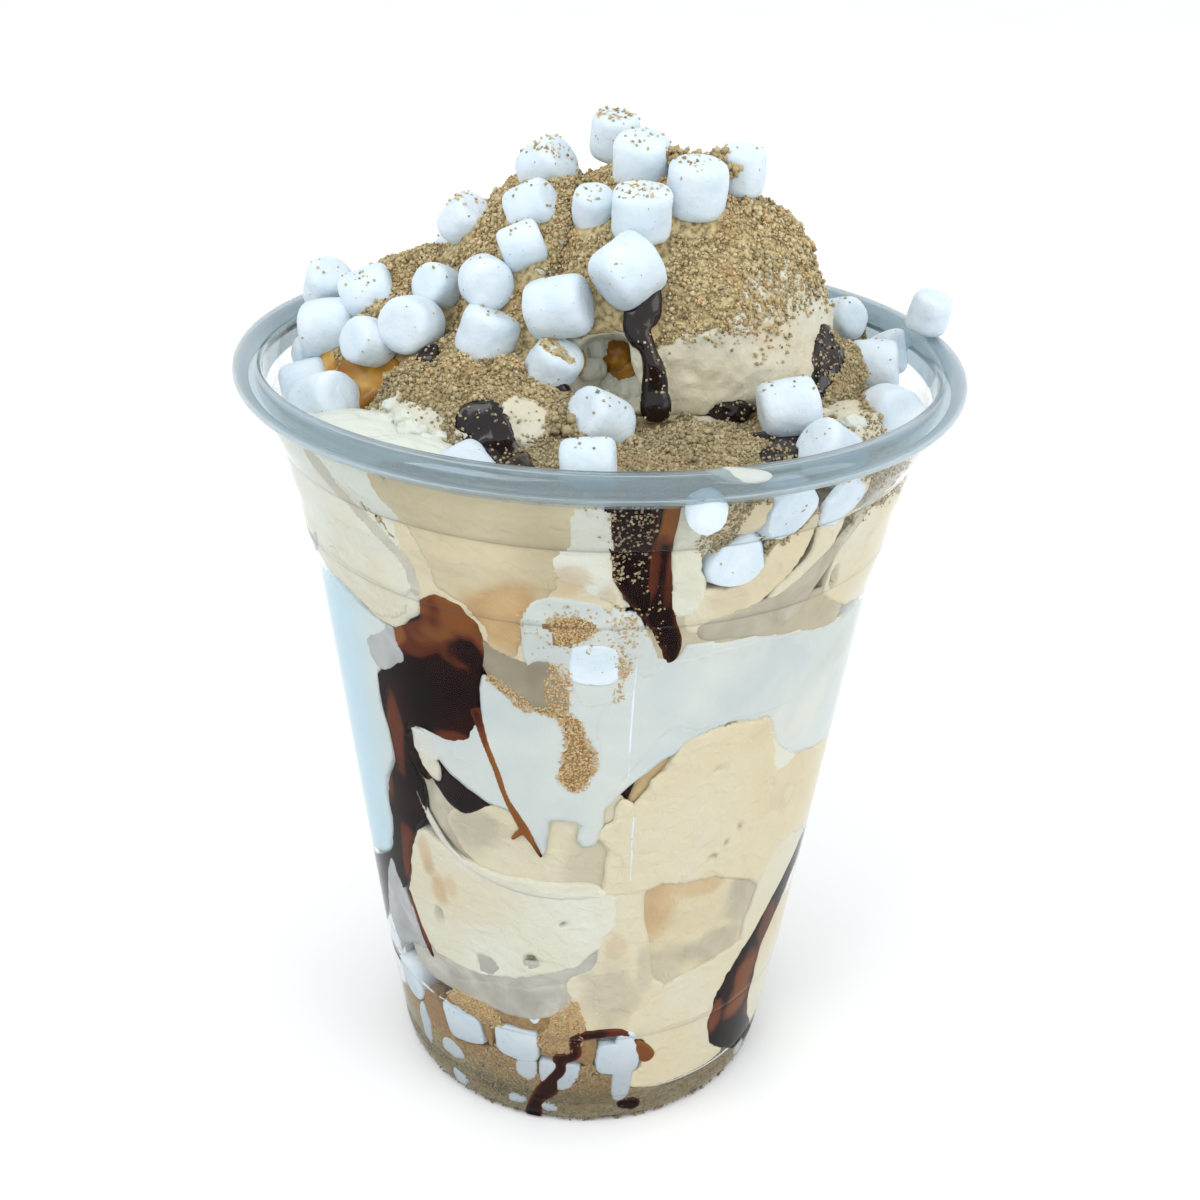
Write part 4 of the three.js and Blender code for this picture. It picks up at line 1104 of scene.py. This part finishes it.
FRONT_GLOSSY = [
    (10, 108.5), (9.3, 104), (8.5, 101), (8.2, 98), (8.6, 95), (10, 91.5), (11.9, 88), (13, 85.4),
    (14.2, 84.2), (15.5, 85.5), (15.8, 88), (14.4, 91), (13.1, 95), (12.2, 99), (11.9, 103), (12.3, 108.5),
]
FRONT_SPECKLED = [
    (2.4, 108), (2.5, 102), (2.7, 99.5), (3.4, 97.2), (4.8, 95.2), (6.8, 93.2), (8.6, 91.6), (10.2, 89.8),
    (11.4, 87.6), (13, 86.5), (14.6, 88), (13, 91), (11, 94), (9.5, 99), (8.8, 103), (8.7, 108),
]
MELT_EDGE = [
    (3, 93.5), (6.2, 92.6), (8.2, 91.2), (9.9, 89.4), (11.2, 87.2), (12.2, 85), (13, 83), (9, 82.5),
    (6, 86), (3, 90),
]
ZIGZAG = [
    (-13.5, 0.8, 1.6), (-12, 4.3, 1.3), (-8.8, 7, 1.9), (-7.4, 9.3, 1.3), (-5, 11.7, 1.2),
    (-5.5, 13.7, 1.1), (-3, 14.3, 1.1), (-1.2, 15.3, 1.1), (-1.2, 18.2, 1.1), (2, 19.3, 1),
    (6, 19.6, 0.9), (10, 19.7, 0.8), (13, 19, 0.5),
]
DROP = [(13.5, 18.8, 0.2), (15.5, 17.2, 0.4), (17.5, 15.3, 1.3), (19.3, 13.6, 1.4)]
DRIP = [
    (-22.3, 75, 0.9), (-20.7, 70.5, 0.6), (-18.5, 66, 0.55), (-16.8, 62, 0.6), (-14.6, 59.3, 0.75),
    (-12.8, 57, 0.8), (-11.3, 55, 0.35), (-9.7, 53, 0.2),
]
DRIP_FOOT = [(-15.8, 55.4, 0.25), (-14, 56.7, 0.5), (-12.6, 57, 0.6)]
on_wall("melt_edge", CREAM, 0.235, 1.2, [MELT_EDGE], seed=115, tone=0.1)
on_wall("sauce_speckled", WALL_SAUCE, 0.26, 2, [FRONT_SPECKLED], seed=75, thin=())
on_wall("sauce_glossy", WALL_SAUCE, 0.3, 1.6, [FRONT_GLOSSY], ragged=0.12, seed=76,
        thin=[(11, 108, 3, 6, 1.0), (9.5, 100, 1.2, 6, 0.3), (12, 97, 1, 5, 0.2)])
on_wall("sauce_zigzag", WALL_SAUCE, 0.34, 0.9, strokes=[ZIGZAG], ragged=0.2, seed=77, step=0.25,
        thin=[(-4, 12, 20, 12, 0.12), (10, 20, 5, 2, 0.3)])
on_wall("sauce_drop", WALL_SAUCE, 0.34, 0.9, strokes=[DROP], ragged=0.12, seed=78, step=0.25,
        thin=[(18, 15, 6, 5, 0.75)])
on_wall("caramel_drip", WALL_SAUCE, 0.3, 0.7, strokes=[DRIP, DRIP_FOOT], ragged=0.1, seed=79, step=0.22,
        thin=[(-16, 64, 12, 16, 0.8)])

RECESS_SAUCE = [
    (-38, 62.5), (-35, 60.5), (-31, 57.5), (-27, 57), (-22, 59.2), (-18.5, 61), (-24, 63.5), (-30, 66),
    (-33.5, 64.5), (-35.5, 66),
]
EYE = [(-40.5, 66.3, 1.1), (-38.8, 63.6, 1.3), (-36.6, 61.8, 0.8)]
EYE_LUMP = [(-37.5, 66), (-35, 66), (-32.5, 64), (-33, 61.5), (-36, 62.3), (-38, 64)]
# The lump is a little greyer with painted shade.
on_wall("eye_lump", ICE_CREAM, 0.21, 1.5, [EYE_LUMP], seed=63, tone=0.2, deep=0.2)
on_wall("sauce_eye", WALL_SAUCE, 0.27, 1.2, strokes=[EYE], seed=84, thin=())
RIGHT_STREAK = [
    (3.7, 62), (4.8, 59.8), (7.2, 59.8), (9, 62.5), (11, 66), (13.7, 70.3), (14.5, 73), (9.6, 70), (6, 66),
]
BROWN_STREAK = [(8, 60.5), (11, 60), (13.5, 63.5), (16.5, 69), (17, 74), (14, 74), (12, 70), (9.5, 65)]
FLOOR_DROP = [(13.5, 3.6, 1.2), (16.5, 3.2, 1.3), (18, 2.8, 0.7)]
THREAD = [(-49, 37, 0.5), (-46.5, 32, 0.5), (-44.5, 29, 0.8), (-43, 27, 0.4)]
on_wall("sauce_recess", WALL_SAUCE, -0.3, 1.5, [RECESS_SAUCE], seed=80, thin=())
on_wall("sauce_streak", WALL_SAUCE, -0.9, 2, [RIGHT_STREAK], seed=81, thin=[(6, 62, 6, 5, 0.12)])
on_wall("brown_streak", ICE_CREAM, -0.5, 2, [BROWN_STREAK], seed=82, tone=1.0, caramel=0.4)
on_wall("sauce_floor_drop", WALL_SAUCE, 0.3, 1, strokes=[FLOOR_DROP, THREAD], seed=83,
        thin=[(-46, 32, 4, 8, 0.4)])

# Small white pieces, most of them near the floor:
# (turn, z, half width in degrees, half height, depth in the sheet).
WHITE_BITS = [
    (-41, 8, 4.5, 1.8, 0.26), (-15, 10.5, 3, 3, 0.28), (-39, 2.3, 3, 1.4, 0.3), (-19, 3.2, 3.2, 1.2, 0.3),
    (-8.5, 3.2, 2.6, 1.2, 0.3), (-53, 9, 3, 4.5, 0.24), (-66, 22, 4, 3, 0.2), (60, 3, 3, 1.6, 0.3),
    (120, 3, 3.5, 1.5, 0.3), (-140, 3.2, 3, 1.4, 0.3), (175, 2.8, 3, 1.3, 0.3),
    (42.5, 104.3, 4.6, 3.2, 0.26), (-94, 8, 4.5, 4, 0.26), (-106, 5, 3.5, 2.6, 0.28),
    (152, 6.5, 4.5, 3.5, 0.26), (84, 6, 4, 2.8, 0.26),
]
ROUND_TRIP = np.radians(np.arange(0, 360, 40))
for k, (turn, z, wide, high, depth) in enumerate(WHITE_BITS):
    outline = [(turn + wide * math.cos(a), z + high * math.sin(a)) for a in ROUND_TRIP]
    on_wall(f"white_bit_{k + 1:02d}", MARSHMALLOW, depth, 1.6, [outline], seed=90 + k, ragged=0.9)
WHITE_PEAK = [
    (-20, 25.5), (-15, 26.6), (-8, 27.4), (-3.5, 27), (-7, 24.5), (-10, 22), (-12.1, 20.6), (-14.5, 22),
]
on_wall("white_peak", MARSHMALLOW, 0.19, 1.8, [WHITE_PEAK], seed=89, ragged=0.4)
MILKY_DRIP = [(12.6, 18, 1.8), (12.6, 13, 1.9), (12.4, 8, 1.9), (12.3, 5.8, 1.6)]
on_wall("milky_drip", MARSHMALLOW, 0.3, 1.6, strokes=[MILKY_DRIP], seed=110, ragged=0.15)

# The far side is finished like the near one.
BACK_CREAM = [
    [(118, 64), (124, 53), (127, 44), (130, 40), (133, 44), (134, 53), (138, 56), (143, 52), (146, 45),
     (149, 44), (151, 52), (158, 61), (150, 67), (128, 69)],
    [(-152, 64), (-148, 53), (-143, 46), (-140, 50), (-138, 58), (-131, 59), (-125, 53), (-121, 48),
     (-118, 53), (-114, 64), (-130, 69)],
    [(92, 63), (97, 53), (101, 48), (104, 54), (110, 64)],
]
BACK_HOLLOWS = [
    [(98, 84), (106, 86.5), (118, 87), (128, 85), (124, 81.5), (112, 80.5), (102, 81)],
    [(-124, 90), (-114, 92), (-102, 90.5), (-105, 86), (-117, 85.5)],
    [(162, 30), (170, 34), (178, 33), (176, 27), (166, 25)],
]
on_wall("back_cream", CREAM, 0.2, 2, BACK_CREAM, seed=113, tone=0.1)
# Sheets of painted shade in the hollows on the far side.
on_wall("back_hollows", POCKET_SHADE, 0.19, 0.8, BACK_HOLLOWS, seed=114)
BACK_SAUCE = [
    [(150, 92, 1.2), (148, 84, 2), (152, 74, 1.6), (147, 66, 0.8)],
    [(-140, 60, 0.8), (-144, 50, 1.5), (-150, 40, 2), (-148, 30, 1), (-152, 22, 0.5)],
    [(-110, 96, 0.8), (-112, 88, 1.4), (-108, 80, 0.7)],
    [(110, 24, 0.5), (114, 19, 1), (121, 17, 0.9), (124, 12, 1.3), (130, 9, 0.6)],
]
on_wall("sauce_back", WALL_SAUCE, 0.26, 1.4, strokes=BACK_SAUCE, seed=111, ragged=0.3,
        thin=[(150, 92, 5, 5, 0.8), (-148, 30, 5, 8, 0.5)])


# ---- Shapes on the heap, drawn as seen from above ----
def tree_of(parts):
    points = []
    faces = []
    for part in parts:
        faces += (part[1] + len(points)).tolist()
        points += part[0].tolist()
    return BVHTree.FromPolygons(points, [list(dict.fromkeys(f)) for f in faces])


heap_tree = tree_of(dusted)
DOWN = Vector((0, 0, -1))
HEAP_BASE = 100  # nothing laid on the heap goes lower, also where it hangs over a gap
HEAP_SINK = 1.2  # how far pieces reach into the heap


def height_of(flat):
    """The heap's height at places seen from above."""
    hits = [heap_tree.ray_cast(Vector((x, y, 160)), DOWN)[0] for x, y in flat]
    return np.array([max(hit.z, HEAP_BASE) if hit else HEAP_BASE for hit in hits])


def on_heap(name, material, thickness, outlines, seed, ragged=0.3, level=4, dust=0.0):
    """A piece that lies on the heap. The higher level is, the flatter its top."""
    flat, quads, inside = trimmed_sheet(drawn(outlines, (), 1, ragged, seed), 0.35)
    low = height_of(flat)
    top = np.concatenate([flat, low[:, None]], axis=1)
    top[:, 2] = relaxed(top, quads, level)[:, 2] + rounded(inside, thickness, thickness * 1.3)
    under = np.concatenate([flat, (low - HEAP_SINK)[:, None]], axis=1)
    points, faces = closed_body(top, under, quads)
    piece(name, points, faces, material, dust=dust)
    return points, faces, np.full(len(points), dust)


POOL = [
    (-37, -3.5), (-32.6, -6.5), (-29.5, -8), (-26.5, -9.5), (-25.6, -12), (-28.4, -12.6), (-31, -13.6),
    (-32.8, -13.2), (-34.8, -10), (-37, -7),
]
CONE = [
    (-20, -35), (-18, -29.5), (-16.3, -26.3), (-14.3, -26.5), (-12.8, -31), (-11.3, -36.5), (-13.5, -39),
    (-18, -37.5),
]
BAND = [
    (-17.5, -25), (-16, -23.6), (-12.5, -24.2), (-9.8, -26.5), (-8, -31), (-7, -36), (-8, -39.5),
    (-11, -39.5), (-12, -34.5), (-13, -30.5), (-14.5, -27),
]
SAUCE_SPOTS = [
    [(19, -20), (22.5, -18), (26.5, -18.5), (27.5, -22.5), (25.5, -27.5), (21.5, -30), (19.3, -27),
     (21.5, -23.5)],
    [(27.5, -7), (29.5, -7), (32.5, -3), (33, 1), (30, -1), (28.3, -4)],
    [(-6.5, -17.5), (-4.5, -18.5), (-3.5, -16), (-5.5, -15)],
    [(-23.5, -14), (-21, -15), (-20.5, -12.5), (-22.5, -12)],
    [(-5, 26), (0, 23), (5, 25), (8, 30), (3, 33), (-4, 31)],
    [(20, 24), (24, 22), (26, 26), (22, 29)],
]
laid = [
    on_heap("caramel_pool", CARAMEL, 0.9, [POOL], 121, 0.2, level=60),
    on_heap("cream_cone", MARSHMALLOW, 1.3, [CONE], 122, 0.2),
    on_heap("sauce_band", SAUCE, 0.9, [BAND], 123, dust=0.08),
    on_heap("sauce_spots", SAUCE, 0.7, SAUCE_SPOTS, 124, dust=0.3),
]
# Small bare lumps on the heap: (x, y, z, size).
CREAM_LUMPS = [
    (-25.5, -18.5, 109.5, 1.6), (-23.5, -21.5, 109, 1.8), (-22.8, -24.5, 108.3, 1.9),
    (-20.6, -26.5, 107.6, 1.7), (-26.5, -21.5, 108.4, 1.5), (-21.5, -22.6, 109, 1.2),
    (-19.2, -25, 108.2, 1.1), (33, -13, 107, 1.6),
]
for k, (x, y, z, size) in enumerate(CREAM_LUMPS):
    lump(f"cream_lump_{k + 1}", (x, y, z), (size * 1.1, size, size * 0.8), ICE_CREAM, 130 + k, 4, 0.3,
         tone=-0.2)


# ---- The sauce that runs down the top scoop ----
RIBBON_THICK = 1.25
# Each is (x, z, half width) on the scoop's front.
RIBBON = [
    (4, 128, 1.6), (4.7, 125, 2.2), (4.9, 122, 2.4), (4.6, 119.8, 1.9), (5.7, 117.6, 1.1),
    (6.5, 115, 1.4), (7, 112.5, 1.7), (7.1, 110.2, 2.0), (7, 108.6, 1.6),
]


def ribbon():
    path = curve_through(RIBBON, False, 8)
    ahead = Vector((0, 1, 0))
    hits = [heap_tree.ray_cast(Vector((x, -60, z)), ahead)[0] for x, z, _ in path]
    y = np.array([hit.y for hit in hits])
    for _ in range(6):
        y[1:-1] = y[1:-1] * 0.5 + (y[:-2] + y[2:]) * 0.25
    line = np.stack([path[:, 0], y, path[:, 1]], axis=1)
    along = np.gradient(line, axis=0)
    along /= np.linalg.norm(along, axis=1)[:, None]
    side = np.cross(along, [0, -1, 0])
    side /= np.linalg.norm(side, axis=1)[:, None]
    out = np.cross(side, along)
    out *= np.sign(-out[:, 1:2])
    ends = np.minimum(np.arange(len(line)), np.arange(len(line))[::-1]) / 5
    cap = np.sqrt(1 - (1 - np.clip(ends, 0.02, 1)) ** 2)
    angles = np.radians(np.arange(0, 360, 15))
    wide = (path[:, 2] * cap)[:, None, None] * np.cos(angles)[None, :, None] * side[:, None]
    thick = (RIBBON_THICK * cap)[:, None, None] * np.sin(angles)[None, :, None] * out[:, None]
    points = (line[:, None] + wide + thick).reshape(-1, 3)
    sides = len(angles)
    i, j = np.meshgrid(np.arange(len(line) - 1), np.arange(sides), indexing="ij")
    i, j = i.ravel() * sides, j.ravel()
    after = (j + 1) % sides
    quads = np.stack([i + j, i + after, i + sides + after, i + sides + j], axis=1)
    for first in (0, (len(line) - 1) * sides):
        ring = first + np.arange(sides)
        fan = np.stack([np.full(sides - 2, ring[0]), ring[1:-1], ring[2:], ring[2:]], axis=1)
        quads = np.concatenate([quads, fan if first else fan[:, ::-1]])
    normal = normals_of(points, quads)
    points += normal * (rough(points, 2.5, 140) * 0.3)[:, None]
    quads = outward(points, quads)
    obj = piece("sauce_ribbon", points, quads, SAUCE, thin=0)
    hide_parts("scoop_top")
    return points, quads, np.full(len(points), 0.12)


laid.append(ribbon())
laid.append(lump("sauce_foot", (16.8, -13.6, 108.8), (3, 1.8, 1.6), SAUCE, 141, 4, 0.3, 0.3))
lump("rim_drop", (12.3, -45.2, 108), (2.4, 2.2, 2.7), MARSHMALLOW, 150, 4, 0.08, depth=None)
lump("rim_smear", (15.6, -44.8, 112.2), (3.6, 1.2, 0.9), CREAM, 151, 4, 0.15, depth=None,
     slot="marshmallow")


# ---- Crumbs ----
OCTAHEDRON = np.array([[1, 0, 0], [-1, 0, 0], [0, 1, 0], [0, -1, 0], [0, 0, 1], [0, 0, -1]], float)
OCTA_FACES = np.array([[0, 2, 4], [2, 1, 4], [1, 3, 4], [3, 0, 4], [2, 0, 5], [1, 2, 5], [3, 1, 5],
                       [0, 3, 5]])


def triangle_mesh(name, points, triangles):
    mesh = bpy.data.meshes.new(name)
    mesh.vertices.add(len(points))
    mesh.vertices.foreach_set("co", (points * MM).ravel())
    mesh.loops.add(triangles.size)
    mesh.loops.foreach_set("vertex_index", triangles.ravel())
    mesh.polygons.add(len(triangles))
    mesh.polygons.foreach_set("loop_start", np.arange(0, triangles.size, 3))
    mesh.update(calc_edges=True)
    return mesh


def grains(name, at, size, tone, rng):
    """Small rough crumbs, each with a shade of its own."""
    count = len(at)
    q = rng.normal(size=(count, 4))
    w, x, y, z = (q / np.linalg.norm(q, axis=1)[:, None]).T
    rotation = np.stack([
        1 - 2 * (y * y + z * z), 2 * (x * y - w * z), 2 * (x * z + w * y),
        2 * (x * y + w * z), 1 - 2 * (x * x + z * z), 2 * (y * z - w * x),
        2 * (x * z - w * y), 2 * (y * z + w * x), 1 - 2 * (x * x + y * y),
    ], axis=1).reshape(-1, 3, 3)
    corners = OCTAHEDRON[None] * rng.uniform(0.6, 1.4, (count, 6, 1))
    corners = np.einsum("nij,nkj->nki", rotation, corners) * size[:, None, None] + at[:, None]
    faces = OCTA_FACES[None] + np.arange(count)[:, None, None] * 6
    mesh = triangle_mesh(name, corners.reshape(-1, 3), faces.reshape(-1, 3))
    shown(name, mesh, CRUMBS, {"tone": np.repeat(tone, 6)})


def scatter(parts, count, rng):
    """Random places on the parts' surfaces, denser where there is more dust."""
    corners = []
    shares = []
    for points, quads, dust in parts:
        for pick in ([0, 1, 2], [0, 2, 3]):
            tri = quads[:, pick]
            a, b, c = (points[tri[:, k]] for k in range(3))
            area = np.linalg.norm(np.cross(b - a, c - a), axis=1) / 2
            corners.append(np.stack([a, b, c], axis=1))
            shares.append(area * dust[tri].mean(1))
    corners = np.concatenate(corners)
    share = np.concatenate(shares)
    chosen = corners[rng.choice(len(corners), count, p=share / share.sum())]
    u, v = rng.random((2, count))
    u, v = np.where(u + v > 1, 1 - u, u), np.where(u + v > 1, 1 - v, v)
    a, b, c = chosen[:, 0], chosen[:, 1], chosen[:, 2]
    at = a + (b - a) * u[:, None] + (c - a) * v[:, None]
    normal = np.cross(b - a, c - a)
    return at, normal / np.maximum(np.linalg.norm(normal, axis=1), 1e-12)[:, None]


everything = tree_of(dusted + laid + sprinkled)
UP = Vector((0, 0, 1))


def open_to_sky(at, normal):
    """Whether nothing lies over each place."""
    start = at + normal * 0.3
    return np.array([everything.ray_cast(Vector(p), UP, 40)[0] is None for p in start])


def heap_grains(name, count, sizes, tones, seed, parts):
    rng = np.random.default_rng(seed)
    at, normal = scatter(parts, int(count * 1.5), rng)
    keep = open_to_sky(at, normal)
    at, normal = at[keep][:count], normal[keep][:count]
    size = rng.uniform(*sizes, len(at)) * rng.uniform(0.7, 1.2, len(at))
    at = at + normal * (size * rng.uniform(0.0, 0.8, len(at)))[:, None]
    grains(name, at, size, rng.uniform(*tones, len(at)), rng)


heap_grains("crumbs_sand", 24500, (0.12, 0.22), (0.1, 0.92), 204, dusted + laid)
heap_grains("crumbs_fine", 24500, (0.16, 0.28), (0.1, 0.95), 201, dusted + laid + sprinkled)
heap_grains("crumbs_coarse", 24500, (0.22, 0.4), (0.2, 0.97), 202, dusted)
heap_grains("crumbs_dark", 5000, (0.14, 0.26), (0, 0.12), 203, dusted)


def wall_grains(name, fields, count, sizes, tones, seed):
    """Crumbs that lie against the wall inside drawn outlines: (outlines, strokes, share, gap)."""
    rng = np.random.default_rng(seed)
    places = []
    for outlines, strokes, share, gap in fields:
        field, low, high = drawn(outlines, strokes, PER_DEGREE, 0.6, seed)
        flat = low + rng.random((int(count * share * 6), 2)) * (high - low)
        flat = flat[field(flat) > rng.exponential(0.15, len(flat)) - 0.15][: int(count * share)]
        radius = wall_radius(flat[:, 1]) + gap - rng.random(len(flat)) * 0.35
        places.append(polar(flat[:, 0] / PER_DEGREE, radius, flat[:, 1]))
    at = np.concatenate(places)
    size = rng.uniform(*sizes, len(at))
    grains(name, at, size, rng.uniform(*tones, len(at)), rng)


def belt(low, high):
    turns = range(-180, 181, 90)
    return [(turn, low) for turn in turns] + [(turn, high) for turn in reversed(turns)]


PATCH_ON_CREAM = [
    (-5.8, 76.8), (-3, 77), (-1, 74.5), (1, 72), (1.8, 69), (0, 66), (-3, 64.5), (-5.8, 66.5), (-5.2, 70),
    (-5, 73.5),
]
CRUMBED_MELT = [(-9, 91), (-3, 92), (1, 90.5), (-1, 88.2), (-6, 87)]
BED_LINE = [(-19, 81, 0.3), (-15, 79, 0.4), (-11, 77.3, 0.5), (-7, 77, 0.5)]
on_wall("golden_bed", CRUMB_BED, 0.21, 0.8, [PATCH_ON_CREAM, CRUMBED_MELT], [BED_LINE], ragged=0.9,
        seed=116, ragged_size=1.2)
WALL_CRUMBS = [
    ([belt(0.4, 5)], (), 0.4, 0.12),
    ([[(-30, 9), (-26, 13), (-23, 11), (-10, 6), (-4, 8), (4, 12), (9, 11), (9, 4.5), (-30, 3)]], (),
     0.14, 0.16),
    ([[(128, 76), (134, 78), (139, 71), (136, 64), (131, 62), (129, 68)]], (), 0.03, 0.3),
    ([[(-114, 68), (-107, 70), (-103, 61), (-108, 57)]], (), 0.02, 0.3),
    ([[(15.5, 108.5), (23, 108.5), (21, 102), (16.5, 101)]], (), 0.06, 0.2),
    ([[(2.6, 108), (8.5, 108), (8.5, 101), (6, 97), (3, 98.5)]], (), 0.02, 0.34),
    ([[(4, 98), (8, 100), (13, 90), (11, 87)]], (), 0.003, 0.34),
    ([[(40, 108), (62, 108), (66, 106), (58, 103), (45, 106)]], (), 0.03, 0.1),
]
GOLDEN_CRUMBS = [
    ([[(-38, 21), (-32, 23), (-24, 22), (-22, 18), (-30, 18.5), (-37, 19.5)]], (), 0.4, 0.2),
    ([[(-12, 16), (-9, 20), (-6, 24), (-3, 26.5), (0, 24.5), (1, 18), (-3, 15)]], (), 0.6, 0.2),
    ([[(-30, 9), (-26, 13), (-22, 14), (-10, 9), (-4, 10), (4, 13), (3, 8), (-12, 6)]], (), 0.5, 0.16),
    ([PATCH_ON_CREAM], (), 0.22, 0.3),
    ((), [[(-19, 81, 0.4), (-15, 79, 0.5), (-11, 77.3, 0.6), (-7, 77, 0.6)]], 0.07, 0.3),
    ([[(-7, 91.5), (-3, 92), (0.5, 90.5), (-2, 88.3), (-6, 87.5)]], (), 0.13, 0.28),
    ([[(-8, 84), (-4, 84), (-3.5, 78), (-8, 77)]], (), 0.11, 0.26),
    ([[(4, 92), (8, 91), (7, 84), (5, 79), (4.5, 86)]], (), 0.07, 0.28),
    ([[(-12, 93), (6, 93), (8, 86), (-11, 86)]], (), 0.05, 0.28),
]
wall_grains("crumbs_at_wall", WALL_CRUMBS, 18500, (0.12, 0.27), (0, 1), 211)
wall_grains("crumbs_golden", GOLDEN_CRUMBS, 5200, (0.1, 0.26), (0.88, 1), 212)

# Larger clumps of crumbs: (x, y, z, radius).
CLUMPS = [
    (8, -1, 138.2, 1.8), (11, 1, 137.8, 1.5), (14, 0, 138, 1.7), (16, -2, 136.8, 1.4),
    (-4.5, -24, 109.7, 2.1), (-6, -22.5, 110, 1.6), (-2.6, -25, 109, 1.5), (-22, -23, 108.8, 1.1),
]


def crumb_clumps(name, count, per_clump):
    """Crumbs that stick together in small heaps."""
    rng = np.random.default_rng(221)
    at, normal = scatter(dusted, count * 2, rng)
    inside = np.hypot(at[:, 0], at[:, 1]) < wall_radius(at[:, 2]) - 3.5
    at = at[open_to_sky(at, normal) & inside][:count]
    radius = rng.uniform(0.6, 1.3, len(at))
    at = np.concatenate([at, [c[:3] for c in CLUMPS]])
    radius = np.concatenate([radius, [c[3] for c in CLUMPS]])
    spread = rng.normal(size=(len(at), per_clump, 3))
    spread /= np.linalg.norm(spread, axis=2)[..., None]
    spread *= rng.random((len(at), per_clump, 1)) ** 0.4 * [1, 1, 0.7]
    places = (at[:, None] + spread * radius[:, None, None]).reshape(-1, 3)
    size = np.repeat(radius, per_clump) * rng.uniform(0.18, 0.42, len(places))
    tone = np.repeat(rng.uniform(0.3, 1, len(at)), per_clump) + rng.normal(0, 0.15, len(places))
    grains(name, places, size, np.clip(tone, 0, 1), rng)


crumb_clumps("crumb_clumps", 240, 40)


# ---- Camera, light and floor ----
# The camera fitted to the photograph: millimetres and radians.
CAMERA_AT = (0, -208.64, 178.21)
PITCH, YAW, ROLL = 0.46337, 0.004724, 0.03297
PHOTO_WIDTH = 1200  # pixels
FOCAL = 1595  # pixels of the photograph
SENSOR_WIDTH = 36


def build_camera():
    forward = Vector((math.sin(YAW) * math.cos(PITCH), math.cos(YAW) * math.cos(PITCH), -math.sin(PITCH)))
    right = Vector((math.cos(YAW), -math.sin(YAW), 0))
    up = right.cross(forward)
    turned_right = right * math.cos(ROLL) + up * math.sin(ROLL)
    turned_up = up * math.cos(ROLL) - right * math.sin(ROLL)
    data = bpy.data.cameras.new("camera")
    data.sensor_width = SENSOR_WIDTH
    data.lens = FOCAL / PHOTO_WIDTH * SENSOR_WIDTH
    data.clip_start = 0.01
    data.clip_end = 20
    camera = new_object("camera", data)
    matrix = Matrix((turned_right, turned_up, -forward)).transposed().to_4x4()
    matrix.translation = Vector(CAMERA_AT) * MM
    camera.matrix_world = matrix
    bpy.context.scene.camera = camera


def area_light(name, at, towards, size, power):
    data = bpy.data.lights.new(name, "AREA")
    data.shape = "RECTANGLE"
    data.size, data.size_y = size
    data.energy = power
    light = new_object(name, data)
    light.location = at
    light.rotation_euler = (Vector(towards) - Vector(at)).to_track_quat("-Z", "Y").to_euler()
    light.visible_camera = False


def build_floor():
    s = Shader("floor", Roughness=0.9)
    pale = s.ramp(s.noise(60, 2.0), {0.3: (0.93, 0.93, 0.93, 1), 0.7: (0.95, 0.95, 0.95, 1)})
    side = 4  # metres
    mesh = bpy.data.meshes.new("floor")
    corners = [(-side, -side, 0), (side, -side, 0), (side, side, 0), (-side, side, 0)]
    mesh.from_pydata(corners, [], [(0, 1, 2, 3)])
    mesh.materials.append(s.colour(pale))
    floor = new_object("floor", mesh)
    floor.location.z = -0.1 * MM
    floor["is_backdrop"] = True


def build_world():
    world = bpy.data.worlds.new("soft_sky")
    world.use_nodes = True
    background = world.node_tree.nodes["Background"]
    background.inputs["Color"].default_value = (0.95, 0.98, 1.0, 1)
    background.inputs["Strength"].default_value = 1.08
    bpy.context.scene.world = world
    bpy.context.scene.view_settings.view_transform = "Standard"


build_camera()
build_floor()
build_world()
area_light("key", (-0.5, -0.5, 0.9), (0, 0, 0.08), (0.6, 0.6), 3.4)
area_light("fill", (0.7, -0.4, 0.5), (0, 0, 0.08), (0.6, 0.6), 2.2)

low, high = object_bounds()
